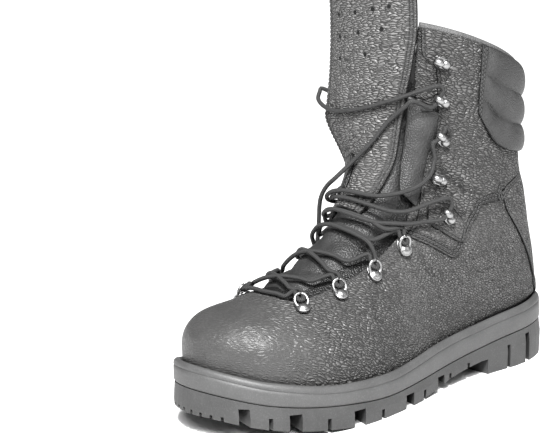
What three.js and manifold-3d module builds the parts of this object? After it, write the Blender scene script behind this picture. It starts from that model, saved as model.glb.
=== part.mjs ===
// A left combat boot in black leather, laced with a round cord over D-rings and open hooks.
// x runs from the back of the heel towards the toe, y towards the outer side of the foot,
// and z up from the floor. All sizes are in millimetres.
import * as THREE from 'three';
import { mergeVertices } from 'three/addons/utils/BufferGeometryUtils.js';
import Module from 'manifold-3d';

const wasm = await Module();
wasm.setup();

// Driving sizes of the boot.
const SOLE_LENGTH = 312;
const BALL_WIDTH = 111;
const HEEL_WIDTH = 75;
const SHAFT_WIDTH = 100;
const TOE_RIM_HEIGHT = 47; // top of the rubber at the toe
const HEEL_RIM_HEIGHT = 45; // top of the rubber at the heel
const ANKLE_BEND_HEIGHT = 136; // where the instep turns up into the shaft
const COLLAR_FRONT_HEIGHT = 249;
const COLLAR_BACK_HEIGHT = 207;
const HEEL_BREAST = 85; // length of the heel block

// Thicknesses and clearances.
const WALL = 2.2; // leather and lining of the upper
const OVERLAY = 1.3; // a second layer of leather
const GAP = 0.3; // air left between pieces that touch
const RIM_LIP = 5.2; // width of the rubber lip around the upper
const RIM_DEPTH = 8; // how far the upper sits down inside the lip
const PLATE = 4; // rubber left above the lugs
const INSOLE_THICKNESS = 4;
const TONGUE_THICKNESS = 3;
const GUSSET_THICKNESS = 1.4;
const PAD_ROLL = 3.4; // how far a padded roll of the collar swells
const COLLAR_BOW = 2; // rise of the collar's side above a straight line
const LACE = 3; // diameter of the round lace

const LEATHER = { color: 0x26272a, roughness: 0.5, metalness: 0 };
const SOFT_LEATHER = { color: 0x2b2c2f, roughness: 0.42, metalness: 0 };
const RUBBER = { color: 0x4a4b4e, roughness: 0.7, metalness: 0 };
const TREAD_RUBBER = { color: 0x3c3d40, roughness: 0.75, metalness: 0 };
const INSOLE_CLOTH = { color: 0x3a3a3a, roughness: 0.95, metalness: 0 };
const STEEL = { color: 0xb9babc, roughness: 0.28, metalness: 1 };
const CORD = { color: 0x1c1c1e, roughness: 0.85, metalness: 0 };

const boot = new THREE.Group();
boot.name = 'combat_boot';

// Small helpers.
const mix = (a, b, t) => a + (b - a) * t;
const clamp = (x, low, high) => Math.min(high, Math.max(low, x));
const ease = (t) => {
  const s = clamp(t, 0, 1);
  return s * s * (3 - 2 * s);
};
const table = (columns, rows) =>
  rows.map((row) => Object.fromEntries(columns.split(' ').map((name, k) => [name, row[k]])));

// A smooth value of one column between the rows of a table, with no overshoot past a row.
function between(rows, at, column, x) {
  const last = rows.length - 1;
  const slope = (k) => (rows[k + 1][column] - rows[k][column]) / (rows[k + 1][at] - rows[k][at]);
  const tangent = (k) => {
    if (k === 0) return slope(0);
    if (k === last) return slope(last - 1);
    const [before, after] = [slope(k - 1), slope(k)];
    return before * after <= 0 ? 0 : (2 * before * after) / (before + after);
  };
  if (x <= rows[0][at]) return rows[0][column];
  if (x >= rows[last][at]) return rows[last][column];
  const k = rows.findIndex((row) => row[at] > x) - 1;
  const span = rows[k + 1][at] - rows[k][at];
  const t = (x - rows[k][at]) / span;
  const [m0, m1] = [tangent(k) * span, tangent(k + 1) * span];
  const [y0, y1] = [rows[k][column], rows[k + 1][column]];
  return (2 * t ** 3 - 3 * t ** 2 + 1) * y0 + (t ** 3 - 2 * t ** 2 + t) * m0
    + (3 * t ** 2 - 2 * t ** 3) * y1 + (t ** 3 - t ** 2) * m1;
}

// A Catmull-Rom value through equally spaced rows; past the ends it goes on in a straight line.
function through(values, v) {
  const last = values.length - 1;
  if (v > last) return values[last] + (values[last] - values[last - 1]) * (v - last);
  const k = clamp(Math.floor(v), 0, last - 1);
  const t = v - k;
  const [b, c] = [values[k], values[k + 1]];
  const a = k > 0 ? values[k - 1] : 2 * b - c;
  const d = k + 2 <= last ? values[k + 2] : 2 * c - b;
  return 0.5 * (2 * b + (c - a) * t + (2 * a - 5 * b + 4 * c - d) * t ** 2
    + (3 * b - 3 * c + d - a) * t ** 3);
}

// The sole's outline. Widths are shares of the heel or ball width on each side of the long axis.
const OUTLINE = table('along width outer inner', [
  [0.03, HEEL_WIDTH, 0.28, 0.28],
  [0.08, HEEL_WIDTH, 0.427, 0.413],
  [0.16, HEEL_WIDTH, 0.52, 0.48],
  [0.28, HEEL_WIDTH, 0.52, 0.453],
  [0.40, HEEL_WIDTH, 0.56, 0.44],
  [0.52, BALL_WIDTH, 0.45, 0.351],
  [0.62, BALL_WIDTH, 0.505, 0.423],
  [0.70, BALL_WIDTH, 0.5225, 0.473],
  [0.78, BALL_WIDTH, 0.505, 0.491],
  [0.86, BALL_WIDTH, 0.441, 0.473],
  [0.93, BALL_WIDTH, 0.315, 0.405],
  [0.98, BALL_WIDTH, 0.135, 0.27],
]);
const TOE_TIP_SWING = -0.063; // the toe's tip lies towards the big toe, a share of the ball width
const OUTLINE_STEPS = 30; // fine steps between two rows of the outline

const outlineLoop = [
  new THREE.Vector2(0, 0),
  ...OUTLINE.map((r) => new THREE.Vector2(r.along * SOLE_LENGTH, r.outer * r.width)),
  new THREE.Vector2(SOLE_LENGTH, TOE_TIP_SWING * BALL_WIDTH),
  ...[...OUTLINE].reverse().map((r) => new THREE.Vector2(r.along * SOLE_LENGTH, -r.inner * r.width)),
];

// The closed outline as fine points from the toe's tip to the heel's tip, down one side.
function fineSide(side) {
  const n = outlineLoop.length;
  const toe = OUTLINE.length + 1;
  const at = (k) => outlineLoop[((k % n) + n) % n];
  const points = [];
  for (let k = 0; k < toe; k++) {
    const base = side > 0 ? toe - k : toe + k;
    const step = side > 0 ? -1 : 1;
    const four = [-1, 0, 1, 2].map((j) => at(base + j * step));
    for (let s = 0; s < OUTLINE_STEPS; s++) {
      const t = 1 + s / OUTLINE_STEPS;
      points.push(new THREE.Vector2(through(four.map((p) => p.x), t), through(four.map((p) => p.y), t)));
    }
  }
  points.push(at(0).clone());
  const lengths = [0];
  for (let k = 1; k < points.length; k++) lengths.push(lengths[k - 1] + points[k].distanceTo(points[k - 1]));
  const normals = points.map((p, k) => {
    const a = points[Math.max(k - 1, 0)];
    const b = points[Math.min(k + 1, points.length - 1)];
    if (k === 0) return new THREE.Vector2(1, 0);
    if (k === points.length - 1) return new THREE.Vector2(-1, 0);
    return new THREE.Vector2(-(b.y - a.y), b.x - a.x).normalize().multiplyScalar(-side);
  });
  return { points, lengths, normals };
}
const fineSides = { 1: fineSide(1), '-1': fineSide(-1) };

// A point of the outline at a share of the way from toe tip to heel tip, moved in by `inset`.
function edge(side, share, inset) {
  const { points, lengths, normals } = fineSides[side];
  const target = share * lengths[lengths.length - 1];
  const k = clamp(lengths.findIndex((s) => s >= target), 1, points.length - 1);
  const t = clamp((target - lengths[k - 1]) / (lengths[k] - lengths[k - 1]), 0, 1);
  const p = points[k - 1].clone().lerp(points[k], t);
  const n = normals[k - 1].clone().lerp(normals[k], t).normalize();
  return p.addScaledVector(n, -inset);
}

// Heights of the rubber along the sole: its top rim, the seam above the lugs, and the tread.
const RIM_SAG = HEEL_RIM_HEIGHT; // heights behind the toe follow the heel's rim
const HEIGHTS = table('along rim seam', [
  [0.00, RIM_SAG, 0.589 * HEEL_RIM_HEIGHT],
  [0.16, 0.944 * RIM_SAG, 0.555 * HEEL_RIM_HEIGHT],
  [0.30, 0.835 * RIM_SAG, 0.445 * HEEL_RIM_HEIGHT],
  [0.45, 0.735 * RIM_SAG, 0.345 * HEEL_RIM_HEIGHT],
  [0.62, 0.622 * RIM_SAG, 0.290 * HEEL_RIM_HEIGHT],
  [0.75, 0.628 * TOE_RIM_HEIGHT, 0.340 * TOE_RIM_HEIGHT],
  [0.90, 0.790 * TOE_RIM_HEIGHT, 0.470 * TOE_RIM_HEIGHT],
  [1.00, TOE_RIM_HEIGHT, 0.650 * TOE_RIM_HEIGHT],
]);
const TREAD = table('along rise', [
  [0.30, 0.245 * HEEL_RIM_HEIGHT],
  [0.38, 0.178 * HEEL_RIM_HEIGHT],
  [0.45, 0.096 * HEEL_RIM_HEIGHT],
  [0.52, 0.020 * HEEL_RIM_HEIGHT],
  [0.56, 0],
  [0.70, 0],
  [0.75, 0.026 * TOE_RIM_HEIGHT],
  [0.90, 0.150 * TOE_RIM_HEIGHT],
  [1.00, 0.320 * TOE_RIM_HEIGHT],
]);
const rimZ = (x) => between(HEIGHTS, 'along', 'rim', x / SOLE_LENGTH);
const seamZ = (x) => between(HEIGHTS, 'along', 'seam', x / SOLE_LENGTH);
const treadZ = (x) => between(TREAD, 'along', 'rise', x / SOLE_LENGTH);

// Mesh, solid and node makers.
function geometryOf(points, triangles) {
  const geometry = new THREE.BufferGeometry().setFromPoints(points);
  geometry.setIndex(triangles);
  return mergeVertices(geometry, 1e-4);
}

function dropFlatTriangles(indexes) {
  const kept = [];
  for (let k = 0; k < indexes.length; k += 3) {
    const [a, b, c] = [indexes[k], indexes[k + 1], indexes[k + 2]];
    if (a !== b && b !== c && c !== a) kept.push(a, b, c);
  }
  return kept;
}

// A closed solid from any closed geometry, turned so that its faces point out.
function solidOf(geometry) {
  const bare = geometry.clone();
  for (const name of Object.keys(bare.attributes)) if (name !== 'position') bare.deleteAttribute(name);
  const merged = mergeVertices(bare, 1e-4);
  const position = merged.getAttribute('position');
  const kept = dropFlatTriangles(Array.from(merged.index.array));
  const [a, b, c] = [new THREE.Vector3(), new THREE.Vector3(), new THREE.Vector3()];
  let volume = 0;
  for (let k = 0; k < kept.length; k += 3) {
    a.fromBufferAttribute(position, kept[k]);
    b.fromBufferAttribute(position, kept[k + 1]);
    c.fromBufferAttribute(position, kept[k + 2]);
    volume += a.dot(b.cross(c));
  }
  if (volume < 0) kept.reverse();
  return new wasm.Manifold(new wasm.Mesh({
    numProp: 3,
    vertProperties: new Float32Array(position.array),
    triVerts: new Uint32Array(kept),
  }));
}

function geometryFrom(solid) {
  const mesh = solid.getMesh();
  return new THREE.BufferGeometry()
    .setAttribute('position', new THREE.BufferAttribute(new Float32Array(mesh.vertProperties), 3))
    .setIndex(new THREE.BufferAttribute(new Uint32Array(mesh.triVerts), 1));
}

function addNode(name, solid, finish, matrix = null) {
  const geometry = geometryFrom(solid);
  geometry.computeVertexNormals();
  const mesh = new THREE.Mesh(geometry, new THREE.MeshStandardMaterial(finish));
  mesh.name = name;
  if (matrix) matrix.decompose(mesh.position, mesh.quaternion, mesh.scale);
  boot.add(mesh);
  return mesh;
}

const joined = (solids) => solids.reduce((whole, piece) => whole.add(piece));

// Solids of the sole are rings around the outline, stacked and capped across at both ends.
const SIDE_STEPS = 36;
const endEased = (k) => {
  const t = k / SIDE_STEPS;
  return mix(t, 0.5 - 0.5 * Math.cos(Math.PI * t), 0.45); // closer steps around toe and heel
};
function ring(inset, height) {
  const loop = [];
  const put = (side, share) => {
    const p = edge(side, share, inset);
    loop.push(new THREE.Vector3(p.x, p.y, height(p.x)));
  };
  for (let k = 0; k <= SIDE_STEPS; k++) put(1, endEased(k));
  for (let k = SIDE_STEPS - 1; k > 0; k--) put(-1, endEased(k));
  return loop;
}
function stack(rings) {
  const count = rings[0].length;
  const triangles = [];
  for (let r = 0; r + 1 < rings.length; r++) {
    for (let k = 0; k < count; k++) {
      const [a, b] = [r * count + k, r * count + ((k + 1) % count)];
      triangles.push(a, b, b + count, a, b + count, a + count);
    }
  }
  const cap = (start, up) => {
    for (let k = 0; k < SIDE_STEPS; k++) {
      const [a, b] = [start + k, start + k + 1];
      const [c, d] = [start + ((count - k) % count), start + ((count - k - 1) % count)];
      triangles.push(...(up ? [a, b, d, a, d, c] : [a, d, b, a, c, d]));
    }
  };
  cap(0, false);
  cap((rings.length - 1) * count, true);
  return solidOf(geometryOf(rings.flat(), dropFlatTriangles(triangles)));
}

// The outsole: a plate with a heel block and lugs, cut from one block of the outline.
const LUG_GAPS = table('at wide', [
  // places along the sole as shares of its length, widths in millimetres
  [0.139, 5], [0.206, 3], [0.345, 2.5], [0.413, 2.5], [0.450, 7], [0.516, 2.5],
  [0.571, 8], [0.660, 2.5], [0.725, 9], [0.798, 2.5], [0.863, 8], [0.906, 2.5], [0.943, 6],
]);
const GAP_REACH = 21; // how far a gap runs in from the side
const GAP_SLANT = 0.32; // a gap leans towards the heel as it runs in
const TOE_TEETH = 4; // small teeth on each side of the toe's tip
const CENTRE_CHANNEL = 4; // width of the channels beside the centre lugs
const BELOW = 5; // cutters start this far under the floor

// A standing block with its two ends at plan points a and b, `wide` across, from floor to `top`.
function standingBlock(a, b, wide, top) {
  const run = b.clone().sub(a);
  const box = new THREE.BoxGeometry(run.length(), wide, top + BELOW);
  box.rotateZ(Math.atan2(run.y, run.x));
  box.translate((a.x + b.x) / 2, (a.y + b.y) / 2, (top - BELOW) / 2);
  return solidOf(box);
}

function shareAt(side, x) {
  const { points, lengths } = fineSides[side];
  const k = points.findIndex((p) => p.x <= x);
  return lengths[k] / lengths[lengths.length - 1];
}

function profileCutter(profile) {
  const shape = new THREE.Shape(profile.map(([x, z]) => new THREE.Vector2(x, z)));
  const cut = new THREE.ExtrudeGeometry(shape, { depth: 2 * BALL_WIDTH, bevelEnabled: false });
  cut.rotateX(Math.PI / 2);
  cut.translate(0, BALL_WIDTH, 0);
  return solidOf(cut);
}

function makeOutsole() {
  const block = stack([ring(0, () => 0), ring(-0.6, (x) => 0.6 * seamZ(x)), ring(0.4, seamZ)]);
  const arch = [];
  const toe = [];
  const [archEnd, toeStart] = [0.56 * SOLE_LENGTH, 0.70 * SOLE_LENGTH];
  const steps = 12;
  for (let k = 0; k <= steps; k++) {
    const x = mix(HEEL_BREAST, archEnd, k / steps);
    arch.push([x, treadZ(x)]);
    const forward = mix(toeStart, SOLE_LENGTH + BELOW, k / steps);
    toe.push([forward, treadZ(forward)]);
  }
  const cuts = [
    profileCutter([[HEEL_BREAST, -BELOW], ...arch, [archEnd + 1, -BELOW]]),
    profileCutter([[toeStart - 1, -BELOW], ...toe, [SOLE_LENGTH + BELOW, -BELOW]]),
  ];
  for (const gap of LUG_GAPS) {
    for (const side of [1, -1]) {
      const x = gap.at * SOLE_LENGTH;
      const narrow = gap.wide < 4;
      const reach = narrow ? GAP_REACH * 0.35 : GAP_REACH;
      const outside = edge(side, shareAt(side, x), -4);
      const inside = new THREE.Vector2(outside.x - GAP_SLANT * reach, outside.y - side * (reach + 4));
      const full = seamZ(x) - PLATE;
      cuts.push(standingBlock(outside, inside, gap.wide, narrow ? mix(treadZ(x), full, 0.7) : full));
    }
  }
  for (let k = 0; k < TOE_TEETH; k++) {
    for (const side of [1, -1]) {
      const share = (k + 0.5) * 0.021;
      const top = treadZ(SOLE_LENGTH) * mix(0.95, 0.8, k / TOE_TEETH) + 3.2;
      cuts.push(standingBlock(edge(side, share, -3), edge(side, share, 5), 2, top));
    }
  }
  for (const side of [1, -1]) {
    for (const [from, to] of [[0.60, 0.73], [0.76, 0.86]]) {
      const a = edge(side, shareAt(side, from * SOLE_LENGTH), GAP_REACH + 2);
      const b = edge(side, shareAt(side, to * SOLE_LENGTH), GAP_REACH + 2);
      cuts.push(standingBlock(a, b, CENTRE_CHANNEL, seamZ(from * SOLE_LENGTH) - PLATE));
    }
  }
  const heelFront = new THREE.Vector2(HEEL_BREAST - 12, 0);
  cuts.push(standingBlock(new THREE.Vector2(0.075 * SOLE_LENGTH, 0), heelFront, 15, 9));
  return cuts.reduce((whole, cut) => whole.subtract(cut), block);
}
addNode('outsole', makeOutsole(), TREAD_RUBBER);

// The midsole: a tray of smooth rubber whose rounded lip stands around the upper.
const trayFloor = (x) => rimZ(x) - RIM_DEPTH;
const midsole = stack([
  ring(1.1, (x) => seamZ(x) + GAP),
  ring(0, (x) => seamZ(x) + GAP + 1.6),
  ring(0.4, (x) => rimZ(x) - 3.4),
  ring(1.9, (x) => rimZ(x) - 0.3),
  ring(RIM_LIP - 1.2, (x) => rimZ(x)),
  ring(RIM_LIP, (x) => rimZ(x) - 1.8),
  ring(RIM_LIP, trayFloor),
]);
addNode('midsole', midsole, RUBBER);

const INSOLE_INSET = RIM_LIP + GAP + WALL + 2.2;
const insole = stack([
  ring(INSOLE_INSET, (x) => trayFloor(x) + GAP),
  ring(INSOLE_INSET, (x) => trayFloor(x) + GAP + INSOLE_THICKNESS),
]);
addNode('insole', insole, INSOLE_CLOTH);

// Sections of the upper, fanned from toe tip (row 0) around the ankle to the collar (row 16).
// top: the ridge of the vamp, instep and shaft front. topX is a share of the sole's length, rise of
//   the way from toe rim to ankle bend, climb of the way from there to the collar's front.
// rim: where the section's lower ends stand on the rubber rim, from toe tip 0 to heel tip 1.
// backX and lift: the line up the back of the boot, as shares of length and of the back's height.
// own: 0 where the side keeps to the rim line plus `swell`, 1 where it has its own width.
// outer and inner: half widths, as shares of the shaft's width.
// widest: height share of the widest point. crown and keel: roundness above and below it.
// ridge: sideways place of the top, a share of the ball width.
// gap: half the throat's opening, measured along the section from the ridge in millimetres.
const SECTIONS = table('topX rise climb rim backX lift own swell outer inner widest crown keel ridge gap', [
  [0.980, 0.120, 0.000, 0.000, 0.020, 0.000, 0.00, 0.0, 0.300, 0.300, 0.50, 0.85, 2.0, -0.063, 20],
  [0.972, 0.190, 0.000, 0.035, 0.020, 0.000, 0.00, 0.8, 0.400, 0.400, 0.42, 0.85, 2.0, -0.060, 20],
  [0.943, 0.255, 0.000, 0.090, 0.020, 0.000, 0.00, 1.5, 0.450, 0.450, 0.38, 0.86, 2.0, -0.058, 20],
  [0.897, 0.320, 0.000, 0.150, 0.020, 0.000, 0.00, 1.7, 0.480, 0.480, 0.34, 0.86, 2.0, -0.056, 20],
  [0.816, 0.360, 0.000, 0.220, 0.020, 0.000, 0.00, 1.7, 0.500, 0.480, 0.32, 0.96, 2.0, -0.054, 21],
  [0.772, 0.420, 0.000, 0.310, 0.020, 0.000, 0.00, 1.3, 0.510, 0.470, 0.30, 1.08, 2.0, -0.052, 27.5],
  [0.686, 0.550, 0.000, 0.410, 0.020, 0.000, 0.15, 1.5, 0.500, 0.450, 0.29, 1.06, 2.0, -0.046, 34.5],
  [0.606, 0.760, 0.000, 0.520, 0.020, 0.000, 0.50, 1.5, 0.440, 0.410, 0.29, 1.10, 2.0, -0.036, 38.5],
  [0.545, 0.980, 0.000, 0.650, 0.020, 0.000, 0.85, 1.5, 0.405, 0.385, 0.31, 1.10, 1.7, -0.024, 41.5],
  [0.506, 1.000, 0.177, 0.800, 0.020, 0.000, 1.00, 1.5, 0.390, 0.375, 0.36, 1.04, 1.4, -0.012, 40],
  [0.488, 1.000, 0.354, 1.000, 0.020, 0.000, 1.00, 1.5, 0.385, 0.375, 0.42, 0.98, 1.0, -0.004, 37],
  [0.480, 1.000, 0.470, 1.000, 0.030, 0.139, 1.00, 1.5, 0.385, 0.378, 0.45, 0.94, 1.0, 0.000, 34],
  [0.476, 1.000, 0.575, 1.000, 0.055, 0.303, 1.00, 1.5, 0.374, 0.380, 0.47, 0.92, 1.0, 0.000, 29],
  [0.473, 1.000, 0.680, 1.000, 0.075, 0.473, 1.00, 1.5, 0.393, 0.395, 0.48, 0.90, 1.0, 0.000, 27],
  [0.472, 1.000, 0.790, 1.000, 0.090, 0.636, 1.00, 1.5, 0.416, 0.417, 0.48, 0.88, 1.0, 0.000, 27],
  [0.471, 1.000, 0.890, 1.000, 0.099, 0.818, 1.00, 1.5, 0.447, 0.447, 0.48, 0.86, 1.0, 0.000, 28],
  [0.471, 1.000, 1.000, 1.000, 0.101, 1.000, 1.00, 1.5, 0.465, 0.465, 0.48, 0.86, 1.0, 0.000, 29.5],
]);
const COLLAR_ROW = SECTIONS.length - 1;
const HEEL_ROW = 10; // from here on a section closes at the back of the boot
const THROAT_ROW = 4.5; // the vamp is closed before it and open after it
const THROAT_EASE = 0.35; // rows over which the throat opens to its width
const UPPER_SHARE = 0.55; // share of a half section above its widest point
const FEATHER = RIM_LIP + 3.3 * GAP; // the upper stands this far inside the outline
const column = (name) => SECTIONS.map((row) => row[name]);
const COLUMNS = Object.fromEntries(Object.keys(SECTIONS[0]).map((name) => [name, column(name)]));
const value = (name, v) => through(COLUMNS[name], v);

// The ridge of the boot in its middle plane, which also runs on above the collar.
function ridgePoint(v) {
  const z = TOE_RIM_HEIGHT + value('rise', v) * (ANKLE_BEND_HEIGHT - TOE_RIM_HEIGHT)
    + value('climb', v) * (COLLAR_FRONT_HEIGHT - ANKLE_BEND_HEIGHT);
  return new THREE.Vector3(value('topX', v) * SOLE_LENGTH, value('ridge', v) * BALL_WIDTH, z);
}

function lowEnd(v, side) {
  if (v < HEEL_ROW) {
    const p = edge(side, clamp(value('rim', v), 0, 1), FEATHER);
    return new THREE.Vector3(p.x, p.y, rimZ(p.x));
  }
  const z = HEEL_RIM_HEIGHT + value('lift', v) * (COLLAR_BACK_HEIGHT - HEEL_RIM_HEIGHT);
  return new THREE.Vector3(value('backX', v) * SOLE_LENGTH, 0, z);
}

// The outer face of the upper. `a` is 0 on the ridge, 1 or -1 at the rim or the back's middle.
function face(v, a) {
  const around = a > 1 ? a - 2 : a < -1 ? a + 2 : a;
  const side = around < 0 ? -1 : 1;
  const share = Math.abs(around);
  const top = ridgePoint(v);
  const low = lowEnd(v, side);
  const half = side * (low.y - top.y);
  const own = side > 0 ? value('outer', v) : value('inner', v);
  const belly = mix(half + value('swell', v) * clamp(v, 0, 1), own * SHAFT_WIDTH, value('own', v));
  const widest = value('widest', v);
  let height;
  let width;
  if (share < UPPER_SHARE) {
    const angle = (1 - share / UPPER_SHARE) * Math.PI / 2;
    width = belly * Math.cos(angle) ** value('crown', v);
    height = widest + (1 - widest) * Math.sin(angle) ** value('crown', v);
  } else {
    const angle = (share - UPPER_SHARE) / (1 - UPPER_SHARE) * Math.PI / 2;
    width = half + (belly - half) * Math.max(Math.cos(angle), 0) ** value('keel', v);
    height = widest * (1 - Math.sin(angle));
  }
  const bow = COLLAR_BOW * ease((v - HEEL_ROW) / (COLLAR_ROW - HEEL_ROW)) * Math.sin(Math.PI * height);
  return new THREE.Vector3(
    mix(low.x, top.x, height),
    top.y + side * width,
    mix(low.z, top.z, height) + bow,
  );
}

function faceNormal(v, a) {
  const [dv, da] = [0.03, 0.012];
  const [v0, v1] = [clamp(v - dv, 0, COLLAR_ROW), clamp(v + dv, 0, COLLAR_ROW)];
  const alongV = face(v1, a).sub(face(v0, a));
  const closed = v >= HEEL_ROW;
  const [a0, a1] = closed ? [a - da, a + da] : [clamp(a - da, -1, 1), clamp(a + da, -1, 1)];
  const alongA = face(v, a1).sub(face(v, a0));
  return alongA.cross(alongV).normalize();
}
const offFace = (v, a, off) => face(v, a).addScaledVector(faceNormal(v, a), off);

// The parameter `a` at a distance along a section, measured from its ridge or from its low end.
const SECTION_STEPS = 60;
function sectionLengths(v, side) {
  const lengths = [0];
  let before = face(v, 0);
  for (let k = 1; k <= SECTION_STEPS; k++) {
    const next = face(v, side * k / SECTION_STEPS);
    lengths.push(lengths[k - 1] + next.distanceTo(before));
    before = next;
  }
  return lengths;
}
function atLength(v, side, distance, fromLowEnd = false) {
  const lengths = sectionLengths(v, side);
  const total = lengths[SECTION_STEPS];
  const target = clamp(fromLowEnd ? total - distance : distance, 0, total);
  const k = clamp(lengths.findIndex((s) => s >= target), 1, SECTION_STEPS);
  const t = (target - lengths[k - 1]) / (lengths[k] - lengths[k - 1]);
  return side * (k - 1 + t) / SECTION_STEPS;
}
function facingGap(v) {
  const opened = clamp((v - THROAT_ROW) / THROAT_EASE, 0, 1);
  return value('gap', v) * Math.sqrt(opened * (2 - opened));
}
const facing = (v, side) => atLength(v, side, facingGap(v));

// A solid between two offsets of a grid of points, each point with its own direction out.
function wallSolid(points, normals, cells, inner, outer) {
  const [out, inside] = [[], []];
  points.forEach((p, k) => {
    out.push(p.clone().addScaledVector(normals[k], outer(k)));
    inside.push(p.clone().addScaledVector(normals[k], inner(k)));
  });
  const count = points.length;
  const first = new Map();
  const same = points.map((p, k) => {
    const key = p.toArray().map((x) => Math.round(x * 1000)).join();
    if (!first.has(key)) first.set(key, k);
    return first.get(key);
  });
  const edges = new Map();
  const triangles = [];
  for (const cell of cells) {
    const [a, b, c] = cell.map((k) => same[k]);
    if (a === b || b === c || c === a) continue;
    triangles.push(a, b, c, c + count, b + count, a + count);
    for (const [p, q] of [[a, b], [b, c], [c, a]]) {
      if (edges.has(`${q}_${p}`)) edges.delete(`${q}_${p}`);
      else edges.set(`${p}_${q}`, [p, q]);
    }
  }
  for (const [p, q] of edges.values()) triangles.push(q, p, p + count, q, p + count, q + count);
  return solidOf(geometryOf([...out, ...inside], triangles));
}

// Columns around each half section, shared by the upper and the panels laid over it. Before
// BREAK they close up behind the throat's edge, after it they stay at fixed shares.
const BREAK = 0.4;
const FRONT_COLUMNS = [0, 0.16, 0.36, 0.58, 0.8];
const AROUND = [BREAK, 0.47, 0.54, 0.61, 0.69, 0.77, 0.85, 0.93, 1];
const SHAFT_ROWS = [
  8, 8.25, 8.5, 9, 9.3, 9.55, 9.75, 9.9, HEEL_ROW, 10.5, 11, 11.5, 12, 12.6, 13.2, 13.9, 14.6,
  15.3, COLLAR_ROW,
];

// The upper: both halves as one grid, welded along the toe, the vamp's ridge and the back.
const UPPER_ROWS = [
  0, 0.3, 0.7, 1.2, 1.8, 2.5, 3.2, 3.9, THROAT_ROW, THROAT_ROW + 0.07, 4.75, 5.2, 5.9, 6.6, 7.3,
  ...SHAFT_ROWS,
];
const TUCK_INSET = 0.2;

function upperSolid() {
  const points = [];
  const triangles = [];
  const spans = FRONT_COLUMNS.length + AROUND.length;
  const width = spans + 1; // the last column is the edge tucked inside the rubber lip
  for (const side of [1, -1]) {
    const start = points.length;
    for (const v of UPPER_ROWS) {
      const from = v > THROAT_ROW ? Math.abs(facing(v, side)) : 0;
      for (const t of FRONT_COLUMNS) points.push(face(v, side * mix(from, BREAK, t)));
      for (const around of AROUND) points.push(face(v, side * around));
      const low = lowEnd(Math.min(v, HEEL_ROW), side);
      points.push(new THREE.Vector3(low.x, low.y * (1 - TUCK_INSET / SHAFT_WIDTH), trayFloor(low.x) + GAP));
    }
    for (let r = 0; r + 1 < UPPER_ROWS.length; r++) {
      const tucked = UPPER_ROWS[r + 1] <= HEEL_ROW ? 1 : 0;
      for (let k = 0; k < spans - 1 + tucked; k++) {
        const a = start + r * width + k;
        const quad = [a, a + 1, a + width + 1, a + width];
        if (side > 0) triangles.push([quad[0], quad[1], quad[2]], [quad[0], quad[2], quad[3]]);
        else triangles.push([quad[2], quad[1], quad[0]], [quad[3], quad[2], quad[0]]);
      }
    }
  }
  const merged = geometryOf(points, triangles.flat());
  merged.setIndex(dropFlatTriangles(Array.from(merged.index.array)));
  merged.computeVertexNormals();
  const position = merged.getAttribute('position');
  const normal = merged.getAttribute('normal');
  const list = (attribute) => Array.from({ length: attribute.count }, (_, k) =>
    new THREE.Vector3().fromBufferAttribute(attribute, k));
  const cells = [];
  for (let k = 0; k < merged.index.count; k += 3) cells.push([0, 1, 2].map((j) => merged.index.array[k + j]));
  const out = list(normal);
  const middle = new THREE.Vector3(SOLE_LENGTH / 2, 0, ANKLE_BEND_HEIGHT / 2);
  const sign = Math.sign(out.reduce((sum, n, k) =>
    sum + n.dot(new THREE.Vector3().fromBufferAttribute(position, k).sub(middle)), 0));
  return wallSolid(list(position), out.map((n) => n.multiplyScalar(sign)), cells, () => -WALL, () => 0);
}
addNode('upper', upperSolid(), LEATHER);

// A panel laid over the upper: a grid of rows and columns on one side, or on both and welded.
// `place` gives the section row and the way around; `inner` and `outer` give its two offsets.
const evenly = (count) => Array.from({ length: count + 1 }, (_, k) => k / count);
function gridPanel(rows, columns, sides, place, inner, outer) {
  const [points, normals, known, cells] = [[], [], [], []];
  for (const side of sides) {
    const start = points.length;
    for (const row of rows) {
      for (const column of columns) {
        const [v, a] = place(row, column, side);
        points.push(face(v, a));
        normals.push(faceNormal(v, a));
        known.push([v, a, row, column]);
      }
    }
    const width = columns.length;
    for (let r = 0; r + 1 < rows.length; r++) {
      for (let c = 0; c + 1 < width; c++) {
        const a = start + r * width + c;
        const [near, far] = side > 0 ? [a, a + 1] : [a + 1, a];
        cells.push([near, far, far + width], [near, far + width, near + width]);
      }
    }
  }
  return wallSolid(points, normals, cells, (k) => inner(...known[k]), (k) => outer(...known[k]));
}

// The backstay: from the rubber rim up the heel, widest and padded behind the ankle.
const BACKSTAY = table('row half thick', [
  // half: half its width along the section, measured from the back's middle or the rim
  [9.55, 16, 1.3],
  [10.0, 40, 1.3],
  [10.4, 54, 1.3],
  [10.7, 72, 1.4],
  [11.0, 90, 1.6],
  [11.4, 90, 2.2],
  [11.8, 80, 3.0],
  [12.2, 69, 3.6],
  [12.7, 53, 3.4],
  [13.2, 37, 2.6],
  [13.6, 27, 1.6],
  [13.9, 22, 1.3],
]);
const BACKSTAY_TOP = BACKSTAY[BACKSTAY.length - 1].row;
const backstayHalf = (v) => between(BACKSTAY, 'row', 'half', v);
const UNDER_PAD = AROUND[6]; // above the backstay, the quarters end here beneath the pad
const backstayEdge = (v, side, beyond = 0) => (v > BACKSTAY_TOP
  ? UNDER_PAD : Math.abs(atLength(v, side, backstayHalf(v) + beyond, true)));
const RIM_CLEARANCE = 1.5; // panels end this far above the rubber rim
function lowest(v, side) {
  for (let reach = 0; reach < 40; reach += 1) {
    const a = atLength(v, side, reach, true);
    const p = face(v, a);
    if (p.z >= rimZ(p.x) + RIM_CLEARANCE) return Math.abs(a);
  }
  return BREAK;
}
const BACKSTAY_ROWS = [
  9.6, ...SHAFT_ROWS.filter((v) => v > 9.6 && v <= HEEL_ROW), 10.12,
  ...SHAFT_ROWS.filter((v) => v > 10.2 && v < BACKSTAY_TOP), BACKSTAY_TOP,
];
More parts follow.
